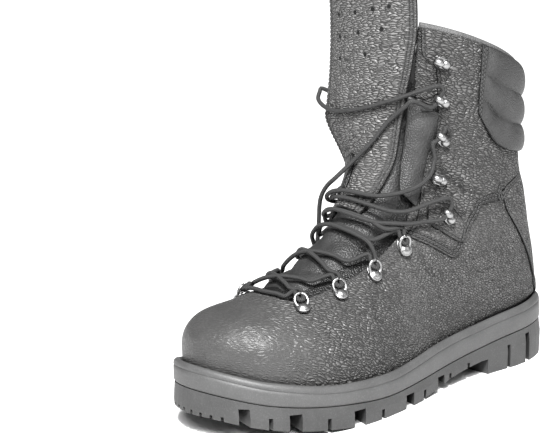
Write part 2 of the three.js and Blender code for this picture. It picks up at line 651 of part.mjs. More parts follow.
const backstay = gridPanel(BACKSTAY_ROWS, AROUND, [1, -1],
  (v, around, side) => [v, side * clamp(around, backstayEdge(v, side), lowest(v, side))],
  () => 2 * GAP,
  (v, a) => {
    const middle = ease((Math.abs(a) - backstayEdge(v, Math.sign(a))) / 0.16);
    return 2 * GAP + mix(OVERLAY, between(BACKSTAY, 'row', 'thick', v), middle);
  });
addNode('backstay', backstay, LEATHER);

// The quarters: the shaft's second layer of leather, from the throat to the backstay.
const QUARTER_FRONT = table('row from', [
  // from: its front edge along the section, measured from the ridge
  [8.00, 45],
  [8.50, 47],
  [9.00, 43],
  [9.50, 40],
  [10.2, 40.5],
  [11.1, 44.5],
  [12.3, 46],
  [13.2, 44.5],
  [14.4, 42],
  [14.75, 32],
  [16.0, 31.5],
]);
const QUARTER_SEAM = table('around row', [
  // around: share of the way from ridge to back, as used by face()
  [0.28, 7.97],
  [0.33, 8.12],
  [0.40, 8.34],
  [0.445, 8.50],
  [0.460, 8.78],
  [0.468, 9.35],
  [0.478, 10.06],
  [0.505, 10.60],
  [0.545, 11.00],
  [0.60, 11.40],
  [0.70, 11.75],
]);
const QUARTER_ROWS = SHAFT_ROWS.filter((v) => v !== 9.3 && v !== 9.75 && v !== 9.9);
const SEAM_CLEARANCE = 1; // between the quarter's back edge and the backstay
const QUARTER_COLUMNS = [-1, -0.74, -0.48, -0.23, ...AROUND.slice(0, 1), 0.437, ...AROUND.slice(1)];
function quarterPlace(row, column, side) {
  // columns under 0 run from the front edge (-1) towards the shared columns (0)
  const seam = (around) => between(QUARTER_SEAM, 'around', 'row', around);
  if (column < 0) {
    const v = Math.max(row, seam(mix(BREAK, 0.29, -column)));
    const front = Math.abs(atLength(v, side, between(QUARTER_FRONT, 'row', 'from', v)));
    return [v, side * mix(BREAK, front, -column)];
  }
  const v = Math.max(row, seam(column));
  return [v, side * Math.min(column, backstayEdge(v, side, SEAM_CLEARANCE))];
}
for (const [name, side] of [['quarter_outer', 1], ['quarter_inner', -1]]) {
  addNode(name, gridPanel(QUARTER_ROWS, QUARTER_COLUMNS, [side], quarterPlace,
    () => GAP, () => GAP + OVERLAY), LEATHER);
}

// The collar pad: soft rolls around the back of the shaft, over the quarters.
const PAD_EDGE = table('around row', [
  [0.495, 13.6],
  [0.520, 13.32],
  [0.560, 13.02],
  [0.620, 13.15],
  [0.700, 13.5],
  [0.800, 13.85],
  [1.000, 14.15],
]);
const PAD_COLUMNS = [0.495, 0.51, ...AROUND.slice(2)];
const PAD_ROLLS = 3;
const PAD_LIFT = 3 * GAP + OVERLAY;
const collarPad = gridPanel(evenly(12), PAD_COLUMNS, [1, -1],
  (share, around, side) => {
    const low = between(PAD_EDGE, 'around', 'row', around);
    return [mix(low, COLLAR_ROW, share), side * around];
  },
  () => PAD_LIFT,
  (v, a) => {
    const around = Math.abs(a);
    const low = between(PAD_EDGE, 'around', 'row', around);
    const roll = Math.abs(Math.sin(Math.PI * PAD_ROLLS * (v - low) / (COLLAR_ROW - low))) ** 0.6;
    return PAD_LIFT + 1 + PAD_ROLL * roll * ease((around - PAD_COLUMNS[0]) / 0.06);
  });
addNode('collar_pad', collarPad, SOFT_LEATHER);

// The ankle tabs: a leaf of leather on each quarter that carries its lowest hook.
const TAB = table('share low lowFrom high highFrom', [
  // rows and distances from the ridge of the tab's lower and upper edges, front to back
  [0.0, 8.60, 55, 8.98, 49],
  [0.3, 8.70, 66, 9.22, 57],
  [0.6, 8.79, 77, 9.36, 67],
  [0.85, 8.88, 86, 9.33, 78],
  [1.0, 8.95, 89, 9.20, 85],
]);
function tabPlace(share, column, side) {
  const at = (name) => between(TAB, 'share', name, column);
  const v = mix(at('low'), at('high'), share);
  return [v, atLength(v, side, mix(at('lowFrom'), at('highFrom'), share))];
}
for (const [name, side] of [['ankle_tab_outer', 1], ['ankle_tab_inner', -1]]) {
  addNode(name, gridPanel(evenly(3), evenly(6), [side], tabPlace,
    () => 3 * GAP + OVERLAY, () => 3 * GAP + 2 * OVERLAY), LEATHER);
}

// The folds: soft leather swelling out of the throat on each side of the tongue.
const FOLD = table('row from to swell', [
  // from and to: its edges along the section, measured from the ridge
  [8.70, 32, 40.0, 2.0],
  [9.05, 29, 39.0, 3.5],
  [9.50, 27, 38.0, 4.5],
  [10.2, 26, 38.5, 6.0],
  [11.1, 25, 42.0, 6.5],
  [12.0, 24, 43.8, 5.5],
  [12.5, 24, 43.8, 2.0],
]);
for (const [name, side] of [['fold_outer', 1], ['fold_inner', -1]]) {
  const [first, last] = [FOLD[0].row, FOLD[FOLD.length - 1].row];
  const at = (key, v) => between(FOLD, 'row', key, v);
  const place = (share, column) => {
    const v = mix(first, last, share);
    return [v, atLength(v, side, mix(at('from', v), at('to', v), column))];
  };
  const stand = (v, a, share, column) => {
    const rounded = Math.sin(Math.PI * mix(0.12, 1, column)) ** 0.7;
    return GAP + GUSSET_THICKNESS + at('swell', v) * rounded;
  };
  addNode(name, gridPanel(evenly(8), evenly(6), [side], place,
    (...at4) => stand(...at4) - GUSSET_THICKNESS, stand), SOFT_LEATHER);
}

// The gusset: soft leather folded behind the throat, tucked inside both facings.
const GUSSET_TUCK = 9; // how far it reaches behind the facings
const UNDER = -(WALL + 2.2); // its outer offset where it lies behind the facings
const [GUSSET_START, GUSSET_END] = [THROAT_ROW - 0.35, 13.2];
const gussetStand = (v) => mix(UNDER, mix(-1.5, 2, ease((v - 5) / 5)), ease((v - THROAT_ROW - 0.1) / 0.7));
function gussetOff(v, c) {
  const spread = Math.abs(2 * c - 1);
  const reach = facingGap(v) + GUSSET_TUCK;
  const edgeShare = facingGap(v) / reach;
  return mix(gussetStand(v), UNDER, ease((spread / Math.max(edgeShare, 0.3) - 0.45) / 0.5));
}
const gusset = gridPanel(evenly(12), evenly(10), [1],
  (share, column) => {
    const v = mix(GUSSET_START, GUSSET_END, share);
    const spread = 2 * column - 1;
    return [v, atLength(v, spread < 0 ? -1 : 1, Math.abs(spread) * (facingGap(v) + GUSSET_TUCK))];
  },
  (v, a, share, column) => gussetOff(v, column) - GUSSET_THICKNESS,
  (v, a, share, column) => gussetOff(v, column));
addNode('gusset', gusset, SOFT_LEATHER);

// The tongue: a long grained flap in front of the gusset, which rises above the collar.
const TONGUE = table('row stand half drop swing', [
  // stand: height of its inner face over the ridge; drop: how far its edges fall back
  // swing: how far it lies over towards the inner side
  [7.55, 3.0, 19, 4.0, 7],
  [8.60, 3.6, 28, 5.0, 11.5],
  [9.50, 4.2, 35.5, 6.5, 15.5],
  [10.5, 4.8, 37, 7.5, 16],
  [12.0, 5.6, 37.5, 8.5, 14.5],
  [14.0, 6.6, 39.5, 10.0, 11],
  [16.0, 7.6, 41, 11.0, 8.5],
  [17.4, 8.4, 41, 10.5, 7.5],
  [18.4, 8.8, 40, 10.0, 7.5],
]);
const TONGUE_BASE = TONGUE[0].row;
const TONGUE_END = TONGUE[TONGUE.length - 1].row;
const TONGUE_ROUND = 0.7; // rows over which the top corners round off
function tonguePoint(v, spread) {
  const along = ridgePoint(v + 0.05).sub(ridgePoint(v - 0.05)).normalize();
  const out = new THREE.Vector3(0, 1, 0).cross(along).normalize();
  const rounding = clamp((v - (TONGUE_END - TONGUE_ROUND)) / TONGUE_ROUND, 0, 1);
  const half = between(TONGUE, 'row', 'half', v) * Math.sqrt(1 - 0.55 * rounding ** 2);
  const stand = between(TONGUE, 'row', 'stand', v);
  const aside = half * spread - between(TONGUE, 'row', 'swing', v);
  const flat = ridgePoint(v)
    .addScaledVector(out, stand - between(TONGUE, 'row', 'drop', v) * spread ** 2)
    .add(new THREE.Vector3(0, aside, 0));
  const free = ease((v - 8.2) / 2.5);
  if (free === 1) return flat;
  const a = atLength(v, aside < 0 ? -1 : 1, Math.abs(aside));
  return offFace(v, a, stand).lerp(flat, free);
}
function tongueNormal(v, spread) {
  const p = tonguePoint(v, spread);
  const ahead = tonguePoint(v + 0.05, spread).sub(p);
  const aside = tonguePoint(v, spread + 0.05).sub(p);
  return aside.cross(ahead).normalize();
}
function tonguePanel(rows, columns, place, inner, outer) {
  const [points, normals, cells] = [[], [], []];
  for (let r = 0; r <= rows; r++) {
    for (let c = 0; c <= columns; c++) {
      const [v, spread] = place(r / rows, c / columns);
      points.push(tonguePoint(v, spread));
      normals.push(tongueNormal(v, spread));
    }
  }
  for (let r = 0; r < rows; r++) {
    for (let c = 0; c < columns; c++) {
      const a = r * (columns + 1) + c;
      cells.push([a, a + 1, a + columns + 2], [a, a + columns + 2, a + columns + 1]);
    }
  }
  return wallSolid(points, normals, cells, () => inner, () => outer);
}
const tongue = tonguePanel(14, 6,
  (r, c) => [mix(TONGUE_BASE, TONGUE_END, r), 2 * c - 1], 0, TONGUE_THICKNESS);
addNode('tongue', tongue, LEATHER);

// The lace keeper: an arched patch on the middle of the tongue.
const [KEEPER_LOW, KEEPER_HIGH] = [8.1, 9.3];
const KEEPER_HALF = 0.38; // shares of the tongue's half width
const KEEPER_SIDE = 0.12;
const keeper = tonguePanel(5, 3,
  (r, c) => {
    const arch = Math.sqrt(1 - 0.8 * clamp((r - 0.6) / 0.4, 0, 1) ** 2);
    return [mix(KEEPER_LOW, KEEPER_HIGH, r), (2 * c - 1) * KEEPER_HALF * arch - KEEPER_SIDE];
  },
  TONGUE_THICKNESS + 3 * GAP, TONGUE_THICKNESS + 3 * GAP + OVERLAY);
addNode('lace_keeper', keeper, SOFT_LEATHER);

// Hardware is made flat: x towards the throat, y along the facing, z out from the leather.
const PLATE_THICKNESS = 1;
const RIVET_RADIUS = 3.4;
function ovalPlate(length, width, thickness) {
  const shape = new THREE.Shape();
  const reach = (length - width) / 2;
  shape.absarc(reach, 0, width / 2, -Math.PI / 2, Math.PI / 2);
  shape.absarc(-reach, 0, width / 2, Math.PI / 2, Math.PI * 1.5);
  const flat = { depth: thickness, bevelEnabled: false, curveSegments: 3 };
  return solidOf(new THREE.ExtrudeGeometry(shape, flat));
}
function rivet(x, base, radius, height) {
  const profile = [[0, 0], [radius, 0], [radius * 0.95, height * 0.5], [0, height]];
  const dome = new THREE.LatheGeometry(profile.map(([r, z]) => new THREE.Vector2(r, z)), 8);
  dome.rotateX(Math.PI / 2);
  dome.translate(x, 0, base);
  return solidOf(dome);
}
function strip(profile, width) {
  const shape = new THREE.Shape(profile.map(([x, z]) => new THREE.Vector2(x, z)));
  const bent = new THREE.ExtrudeGeometry(shape, { depth: width, bevelEnabled: false });
  bent.rotateX(Math.PI / 2);
  bent.translate(0, width / 2, 0);
  return solidOf(bent);
}

const HOOK = { length: 14, width: 8.4, rise: 7.2, reach: 6.6, curl: 5.2, metal: 1.4, base: -2.9 };
function hookSolid() {
  const { length, width, rise, reach, curl, metal, base } = HOOK;
  const bend = [
    [1, 0.2], [reach, 0.2], [reach + 1.1, rise * 0.5], [reach - 0.8, rise],
    [reach - curl, rise + 0.5], [reach - curl, rise + 0.5 - metal], [reach - 1.4, rise - metal],
    [reach - 0.4, rise * 0.5], [reach - 1.2, 0.2 + metal], [1, 0.2 + metal],
  ];
  return joined([
    ovalPlate(length, width, PLATE_THICKNESS),
    rivet(base, PLATE_THICKNESS * 0.5, RIVET_RADIUS, 2.4),
    strip(bend, width * 0.8),
  ]);
}

const RING = { length: 12.6, width: 11.4, wire: 1.55, tilt: 0.55, base: -4.1 };
function ringSolid() {
  const { length, width, wire, tilt, base } = RING;
  const loop = new THREE.Shape();
  loop.absellipse(0, 0, length / 2, width / 2, 0, Math.PI * 2);
  const opening = new THREE.Path();
  opening.absellipse(0, 0, length / 2 - wire, width / 2 - wire, 0, Math.PI * 2, true);
  loop.holes.push(opening);
  const stood = new THREE.ExtrudeGeometry(loop, { depth: wire, bevelEnabled: false, curveSegments: 5 });
  stood.translate(length / 2, 0, 0);
  stood.rotateY(-tilt);
  stood.translate(base, 0, 0.3);
  return joined([
    ovalPlate(length * 0.84, width * 0.9, PLATE_THICKNESS),
    rivet(base, PLATE_THICKNESS * 0.5, RIVET_RADIUS + 0.4, 2.8),
    solidOf(stood),
  ]);
}

// Where the eyelets sit: section row, distance from the ridge, and turn of the open end upwards.
const EYELETS = table('kind row from turn', [
  ['ring_1', 4.80, 32, 24],
  ['ring_2', 5.82, 38, 24],
  ['ring_3', 6.80, 42.5, 27],
  ['ring_4', 7.82, 47, 22],
  ['hook_1', 9.03, 67, 2],
  ['hook_2', 9.66, 53, -18],
  ['hook_3', 11.36, 50.5, 8],
  ['hook_4', 13.10, 47.5, 0],
  ['hook_5', 14.72, 46, 0],
]);
const hookBody = hookSolid();
const ringBody = ringSolid();
const layersUnder = (v) => (v > 9.4 ? 1 : v > QUARTER_SEAM[0].row ? 2 : 0);
function eyeletMatrix(v, side, from, turn) {
  const a = atLength(v, side, from);
  const normal = faceNormal(v, a);
  const lift = 2.5 * GAP + layersUnder(v) * (1.5 * GAP + OVERLAY);
  const origin = offFace(v, a, lift);
  const towards = offFace(v, a - side * 0.02, lift).sub(origin);
  towards.addScaledVector(normal, -towards.dot(normal)).normalize();
  towards.applyAxisAngle(normal, -side * THREE.MathUtils.degToRad(turn));
  const along = new THREE.Vector3().crossVectors(normal, towards);
  return new THREE.Matrix4().makeBasis(towards, along, normal).setPosition(origin);
}
const eyeletAt = {};
for (const [sideName, side] of [['outer', 1], ['inner', -1]]) {
  for (const { kind, row, from, turn } of EYELETS) {
    const matrix = eyeletMatrix(row, side, from, turn);
    eyeletAt[`${kind}_${sideName}`] = matrix;
    const name = `${kind}_${sideName}`;
    addNode(name, kind.startsWith('hook') ? hookBody : ringBody, STEEL, matrix);
  }
}

// The round lace. Strands that cross between two pairs of rings are one solid.
const LACE_SHAPE = new THREE.Shape().absarc(0, 0, LACE / 2, 0, Math.PI * 2);
function laceSolid(points, steps) {
  const path = new THREE.CatmullRomCurve3(points, false, 'centripetal');
  return solidOf(new THREE.ExtrudeGeometry(LACE_SHAPE, {
    steps, curveSegments: 4, bevelEnabled: false, extrudePath: path,
  }));
}

// Places in an eyelet's own directions: `up` is 1 on its side nearer the collar and -1 below.
function inEyelet(name, side, places) {
  const matrix = eyeletAt[`${name}_${side > 0 ? 'outer' : 'inner'}`];
  return places.map(([x, y, z]) => new THREE.Vector3(x, -side * y, z).applyMatrix4(matrix));
}
const inRing = (name, side, up) =>
  inEyelet(name, side, [[1.6, 1.75 * up, 4.2], [6, 1.8 * up, 3.5], [10.5, 2.2 * up, 3.6]]);
const fromHook = (name, side, up) =>
  inEyelet(name, side, [[4, 0.25 * up, 3.6], [3.9, 4.8 * up, 3.6], [5.2, 7 * up, 3.8]]);
const aroundHook = (name, side, up) => inEyelet(name, side, [[9, 8 * up, 4.6], [13, 5.5 * up, 6]]);
const throughHook = (name, side, up) => inEyelet(name, side, [
  [5.2, -7 * up, 3.8], [4.1, -4.3 * up, 3.6], [4.1, 4.3 * up, 3.6], [5.2, 7 * up, 3.8],
]);

// Ways over the foot and over the tongue, made finer between the points given.
const WAY_STEPS = 3;
function way(rows, place) {
  const columns = [0, 1, 2].map((k) => rows.map((row) => row[k]));
  const count = (rows.length - 1) * WAY_STEPS;
  return Array.from({ length: count + 1 }, (_, k) => place(...columns.map((c) => through(c, k / WAY_STEPS))));
}
const footPoint = (v, from, height) => offFace(v, atLength(v, from < 0 ? -1 : 1, Math.abs(from)), height);
const overFoot = (...rows) => way(rows, footPoint);
const overTongue = (...rows) => way(rows, (v, spread, height) =>
  tonguePoint(v, spread).addScaledVector(tongueNormal(v, spread), TONGUE_THICKNESS + height));

const BAR = [
  ...inRing('ring_1', 1, -1),
  ...overFoot([4.6, 20, 3], [4.34, 0, 2.2], [4.6, -20, 3]),
  ...inRing('ring_1', -1, -1).reverse(),
];
addNode('lace_bar', laceSolid(BAR, 12), CORD);

const CROSSINGS = [
  // the eyelets at both ends, then row, distance from the ridge and height of the way between
  ['ring_1', 'ring_2', [[5.0, 18, 4], [5.22, 0, 4], [5.5, -22, 4]]],
  ['ring_2', 'ring_3', [[5.98, 24, 4], [6.2, 0, 4.2], [6.44, -27, 4]]],
  ['ring_3', 'ring_4', [[7.05, 28, 8.5], [7.0, 0, 4.6], [7.2, -28, 5.2]]],
];
const crossed = CROSSINGS.map(([low, high, rows]) => joined([1, -1].map((side) => laceSolid([
  ...inRing(low, side, 1),
  ...overFoot(...rows.map(([v, from, height]) => [v, side * from, height])),
  ...inRing(high, -side, -1).reverse(),
], 12))));
const toTopHooks = [1, -1].map((side) => laceSolid([
  ...inRing('ring_4', side, 1),
  ...overFoot([7.62, side * 30, 8.4], [7.36, 0, 8.4], [7.5, side * -20, 8.8], [7.95, side * -34, 8.4],
    [8.5, side * -50, 5.6]),
  ...fromHook('hook_1', -side, -1).reverse(),
], 20));
addNode('lace_cross_1', crossed[0], CORD);
addNode('lace_cross_2', crossed[1], CORD);
addNode('lace_cross_3', joined([crossed[2], ...toTopHooks]), CORD);

const LONG_END = [
  ...fromHook('hook_1', 1, 1), ...aroundHook('hook_1', 1, 1),
  ...overFoot([8.75, 44, 9], [8.3, 34, 9.5], [7.98, 22, 9], [7.76, 2, 8.8], [7.9, -15, 10.2], [8.5, -32, 14],
    [9.2, -45, 12]),
  ...throughHook('hook_2', -1, 1),
  ...throughHook('hook_3', -1, 1),
  ...overTongue([12.1, -1.22, 2], [11.5, -1.16, 4], [11.1, -0.9, 2.8], [10.9, -0.4, 2.4],
    [11.2, 0.25, 2.4], [11.9, 0.9, 3]),
  ...aroundHook('hook_4', 1, 1).reverse(), ...throughHook('hook_4', 1, -1),
  ...overTongue([11.8, 1.15, 4], [10.9, 0.9, 3], [9.8, 0.62, 3], [8.9, 0.35, 4.4]),
  ...overFoot([8.2, -5, 16.4], [7.8, -17, 17], [7.45, -31, 12], [7.15, -45, 8], [6.85, -55, 4.4],
    [6.35, -58, 2.4], [5.85, -56, 2.2]),
];
addNode('lace_long_end', laceSolid(LONG_END, 78), CORD);

const SHORT_END = [
  ...fromHook('hook_1', -1, 1), ...aroundHook('hook_1', -1, 1),
  ...overFoot([8.6, -46, 9], [8.25, -34, 13.4], [7.96, -20, 14.2], [7.88, -5, 12.4], [8.1, 12, 9.4],
    [8.5, 24, 9.4], [9.0, 35, 10], [9.6, 43, 8], [10.3, 46, 5]),
  ...throughHook('hook_3', 1, 1),
  footPoint(12.0, 55, 4.6),
];
addNode('lace_short_end', laceSolid(SHORT_END, 40), CORD);

// The group's origin is under the middle of the boot without its laces, on the floor.
const box = new THREE.Box3();
for (const piece of boot.children) {
  if (!piece.name.startsWith('lace_')) box.expandByObject(piece);
}
const centre = box.getCenter(new THREE.Vector3());
boot.position.set(-centre.x, -centre.y, 0);

export default boot;
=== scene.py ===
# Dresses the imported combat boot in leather, rubber, cord and steel.
# The tables below are in millimetres in the last's own axes: x from the back of the heel
# towards the toe, y towards the outer side of the foot, z up from the floor.
import math

import bmesh
import bpy
import numpy as np
from mathutils import Matrix


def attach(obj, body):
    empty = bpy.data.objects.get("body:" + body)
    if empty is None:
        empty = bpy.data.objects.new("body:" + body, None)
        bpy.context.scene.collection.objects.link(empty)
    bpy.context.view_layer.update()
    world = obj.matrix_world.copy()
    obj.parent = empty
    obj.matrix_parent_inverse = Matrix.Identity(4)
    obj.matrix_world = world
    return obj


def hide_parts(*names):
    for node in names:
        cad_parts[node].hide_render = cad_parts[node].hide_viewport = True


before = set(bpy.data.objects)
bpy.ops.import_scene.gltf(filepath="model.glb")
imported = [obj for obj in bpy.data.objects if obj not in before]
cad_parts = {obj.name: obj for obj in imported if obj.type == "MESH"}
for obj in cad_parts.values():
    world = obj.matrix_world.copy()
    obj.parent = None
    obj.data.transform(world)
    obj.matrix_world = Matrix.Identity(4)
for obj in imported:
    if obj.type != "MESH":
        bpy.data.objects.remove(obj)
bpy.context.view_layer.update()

# Driving sizes, as in the part's source.
SOLE_LENGTH, BALL_WIDTH, HEEL_WIDTH, SHAFT_WIDTH = 312, 111, 75, 100
TOE_RIM_HEIGHT, HEEL_RIM_HEIGHT, ANKLE_BEND_HEIGHT = 47, 45, 136
COLLAR_FRONT_HEIGHT, COLLAR_BACK_HEIGHT = 249, 207
WALL, OVERLAY, GAP = 2.2, 1.3, 0.3
RIM_LIP, RIM_DEPTH = 5.2, 8
TONGUE_THICKNESS, GUSSET_THICKNESS, COLLAR_BOW, LACE = 3, 1.4, 2, 3
FRAME_SHIFT = np.array([-156.0, -1.7012, 0.0])  # from the last's axes to the row frame
UP = np.array([0.0, 0.0, 1.0])


def mix(a, b, t):
    return a + (b - a) * t


def ease(t):
    s = np.clip(t, 0, 1)
    return s * s * (3 - 2 * s)


def unit(vectors):
    return vectors / np.maximum(np.linalg.norm(vectors, axis=-1, keepdims=True), 1e-9)


def lengths_along(line):
    """The length run through at each point of a line."""
    return np.concatenate([[0], np.cumsum(np.linalg.norm(np.diff(line, axis=0), axis=1))])


def at_lengths(wanted, lengths, values):
    """A line's points, or its normals, at the wanted lengths along it."""
    return np.stack([np.interp(wanted, lengths, column) for column in values.T], -1)


def between(rows, column, x):
    """A smooth value between the rows of a table, with no overshoot past a row."""
    xs, ys = np.array(rows)[:, 0], np.array(rows)[:, column]
    x = np.asarray(x, float)
    slope = np.diff(ys) / np.diff(xs)
    tangent = np.concatenate([slope[:1], np.zeros(len(slope) - 1), slope[-1:]])
    product = slope[:-1] * slope[1:]
    total = np.where(slope[:-1] + slope[1:] == 0, 1, slope[:-1] + slope[1:])
    tangent[1:-1] = np.where(product <= 0, 0, 2 * product / total)
    k = np.clip(np.searchsorted(xs, x, side="right") - 1, 0, len(xs) - 2)
    span = xs[k + 1] - xs[k]
    t = np.clip((x - xs[k]) / span, 0, 1)
    return ((2 * t**3 - 3 * t**2 + 1) * ys[k] + (t**3 - 2 * t**2 + t) * tangent[k] * span
            + (3 * t**2 - 2 * t**3) * ys[k + 1] + (t**3 - t**2) * tangent[k + 1] * span)


def through(values, v):
    """A Catmull-Rom value through equally spaced rows, going on straight past the ends."""
    values, v = np.asarray(values, float), np.asarray(v, float)
    last = len(values) - 1
    padded = np.concatenate([[2 * values[0] - values[1]], values, [2 * values[-1] - values[-2]]])
    k = np.clip(np.floor(v).astype(int), 0, last - 1)
    t = v - k
    a, b, c, d = (padded[k + j] for j in range(4))
    inside = 0.5 * (2 * b + (c - a) * t + (2 * a - 5 * b + 4 * c - d) * t**2
                    + (3 * b - 3 * c + d - a) * t**3)
    return np.where(v > last, values[-1] + (values[-1] - values[-2]) * (v - last), inside)


# The sole's outline: place along, width, and shares of it on the outer and inner side.
OUTLINE = [
    (0.03, HEEL_WIDTH, 0.28, 0.28), (0.08, HEEL_WIDTH, 0.427, 0.413),
    (0.16, HEEL_WIDTH, 0.52, 0.48), (0.28, HEEL_WIDTH, 0.52, 0.453),
    (0.40, HEEL_WIDTH, 0.56, 0.44), (0.52, BALL_WIDTH, 0.45, 0.351),
    (0.62, BALL_WIDTH, 0.505, 0.423), (0.70, BALL_WIDTH, 0.5225, 0.473),
    (0.78, BALL_WIDTH, 0.505, 0.491), (0.86, BALL_WIDTH, 0.441, 0.473),
    (0.93, BALL_WIDTH, 0.315, 0.405), (0.98, BALL_WIDTH, 0.135, 0.27),
]
TOE_TIP_SWING = -0.063
OUTLINE_STEPS = 30
OUTLINE_LOOP = np.array(
    [(0, 0)] + [(x * SOLE_LENGTH, outer * w) for x, w, outer, inner in OUTLINE]
    + [(SOLE_LENGTH, TOE_TIP_SWING * BALL_WIDTH)]
    + [(x * SOLE_LENGTH, -inner * w) for x, w, outer, inner in OUTLINE[::-1]])


def fine_side(side):
    """Points, lengths and outward normals from the toe's tip to the heel's tip, down one side."""
    toe, count = len(OUTLINE) + 1, len(OUTLINE_LOOP)
    points = []
    for k in range(toe):
        base, step = (toe - k, -1) if side > 0 else (toe + k, 1)
        four = np.array([OUTLINE_LOOP[(base + j * step) % count] for j in (-1, 0, 1, 2)])
        t = 1 + np.arange(OUTLINE_STEPS) / OUTLINE_STEPS
        points.append(np.stack([through(four[:, 0], t), through(four[:, 1], t)], 1))
    points = np.concatenate(points + [OUTLINE_LOOP[:1]])
    run = np.gradient(points, axis=0)
    normals = np.stack([-run[:, 1], run[:, 0]], 1) * -side
    normals /= np.linalg.norm(normals, axis=1)[:, None]
    normals[0], normals[-1] = (1, 0), (-1, 0)
    return points, lengths_along(points), normals


FINE_SIDES = {1: fine_side(1), -1: fine_side(-1)}


def edge(side, share, inset):
    """A point of the outline at a share of the way from toe tip to heel tip, moved in."""
    points, lengths, normals = FINE_SIDES[side]
    target = np.asarray(share, float) * lengths[-1]
    p, n = at_lengths(target, lengths, points), at_lengths(target, lengths, normals)
    return p - n / np.linalg.norm(n, axis=-1, keepdims=True) * inset


HEIGHTS = [  # place along, top rim of the rubber, seam above the lugs
    (0.00, HEEL_RIM_HEIGHT, 0.589 * HEEL_RIM_HEIGHT),
    (0.16, 0.944 * HEEL_RIM_HEIGHT, 0.555 * HEEL_RIM_HEIGHT),
    (0.30, 0.835 * HEEL_RIM_HEIGHT, 0.445 * HEEL_RIM_HEIGHT),
    (0.45, 0.735 * HEEL_RIM_HEIGHT, 0.345 * HEEL_RIM_HEIGHT),
    (0.62, 0.622 * HEEL_RIM_HEIGHT, 0.290 * HEEL_RIM_HEIGHT),
    (0.75, 0.628 * TOE_RIM_HEIGHT, 0.340 * TOE_RIM_HEIGHT),
    (0.90, 0.790 * TOE_RIM_HEIGHT, 0.470 * TOE_RIM_HEIGHT),
    (1.00, TOE_RIM_HEIGHT, 0.650 * TOE_RIM_HEIGHT),
]


def rim_z(x):
    return between(HEIGHTS, 1, x / SOLE_LENGTH)


def seam_z(x):
    return between(HEIGHTS, 2, x / SOLE_LENGTH)


# Sections of the upper, fanned from the toe's tip (row 0) round the ankle to the collar (row 16).
SECTION_COLUMNS = ("top_x rise climb rim back_x lift own swell outer inner widest crown keel "
                   "ridge gap").split()
SECTIONS = np.array([
    (0.980, 0.120, 0.000, 0.000, 0.020, 0.000, 0.00, 0.0, 0.300, 0.300, 0.50, 0.85, 2.0, -0.063, 20),
    (0.972, 0.190, 0.000, 0.035, 0.020, 0.000, 0.00, 0.8, 0.400, 0.400, 0.42, 0.85, 2.0, -0.060, 20),
    (0.943, 0.255, 0.000, 0.090, 0.020, 0.000, 0.00, 1.5, 0.450, 0.450, 0.38, 0.86, 2.0, -0.058, 20),
    (0.897, 0.320, 0.000, 0.150, 0.020, 0.000, 0.00, 1.7, 0.480, 0.480, 0.34, 0.86, 2.0, -0.056, 20),
    (0.816, 0.360, 0.000, 0.220, 0.020, 0.000, 0.00, 1.7, 0.500, 0.480, 0.32, 0.96, 2.0, -0.054, 21),
    (0.772, 0.420, 0.000, 0.310, 0.020, 0.000, 0.00, 1.3, 0.510, 0.470, 0.30, 1.08, 2.0, -0.052, 27.5),
    (0.686, 0.550, 0.000, 0.410, 0.020, 0.000, 0.15, 1.5, 0.500, 0.450, 0.29, 1.06, 2.0, -0.046, 34.5),
    (0.606, 0.760, 0.000, 0.520, 0.020, 0.000, 0.50, 1.5, 0.440, 0.410, 0.29, 1.10, 2.0, -0.036, 38.5),
    (0.545, 0.980, 0.000, 0.650, 0.020, 0.000, 0.85, 1.5, 0.405, 0.385, 0.31, 1.10, 1.7, -0.024, 41.5),
    (0.506, 1.000, 0.177, 0.800, 0.020, 0.000, 1.00, 1.5, 0.390, 0.375, 0.36, 1.04, 1.4, -0.012, 40),
    (0.488, 1.000, 0.354, 1.000, 0.020, 0.000, 1.00, 1.5, 0.385, 0.375, 0.42, 0.98, 1.0, -0.004, 37),
    (0.480, 1.000, 0.470, 1.000, 0.030, 0.139, 1.00, 1.5, 0.385, 0.378, 0.45, 0.94, 1.0, 0.000, 34),
    (0.476, 1.000, 0.575, 1.000, 0.055, 0.303, 1.00, 1.5, 0.374, 0.380, 0.47, 0.92, 1.0, 0.000, 29),
    (0.473, 1.000, 0.680, 1.000, 0.075, 0.473, 1.00, 1.5, 0.393, 0.395, 0.48, 0.90, 1.0, 0.000, 27),
    (0.472, 1.000, 0.790, 1.000, 0.090, 0.636, 1.00, 1.5, 0.416, 0.417, 0.48, 0.88, 1.0, 0.000, 27),
    (0.471, 1.000, 0.890, 1.000, 0.099, 0.818, 1.00, 1.5, 0.447, 0.447, 0.48, 0.86, 1.0, 0.000, 28),
    (0.471, 1.000, 1.000, 1.000, 0.101, 1.000, 1.00, 1.5, 0.465, 0.465, 0.48, 0.86, 1.0, 0.000, 29.5),
])
COLLAR_ROW, HEEL_ROW, THROAT_ROW, THROAT_EASE = 16, 10, 4.5, 0.35
UPPER_SHARE = 0.55
FEATHER = RIM_LIP + 3.3 * GAP


def value(name, v):
    return through(SECTIONS[:, SECTION_COLUMNS.index(name)], v)


def ridge_point(v):
    z = (TOE_RIM_HEIGHT + value("rise", v) * (ANKLE_BEND_HEIGHT - TOE_RIM_HEIGHT)
         + value("climb", v) * (COLLAR_FRONT_HEIGHT - ANKLE_BEND_HEIGHT))
    return np.stack([value("top_x", v) * SOLE_LENGTH, value("ridge", v) * BALL_WIDTH, z], -1)


def low_end(v, side):
    share = np.clip(value("rim", v), 0, 1)
    plan = np.where((side > 0)[..., None], edge(1, share, FEATHER), edge(-1, share, FEATHER))
    on_rim = np.concatenate([plan, rim_z(plan[..., 0])[..., None]], -1)
    z = HEEL_RIM_HEIGHT + value("lift", v) * (COLLAR_BACK_HEIGHT - HEEL_RIM_HEIGHT)
    up_back = np.stack([value("back_x", v) * SOLE_LENGTH, 0 * z, z], -1)
    return np.where((v < HEEL_ROW)[..., None], on_rim, up_back)


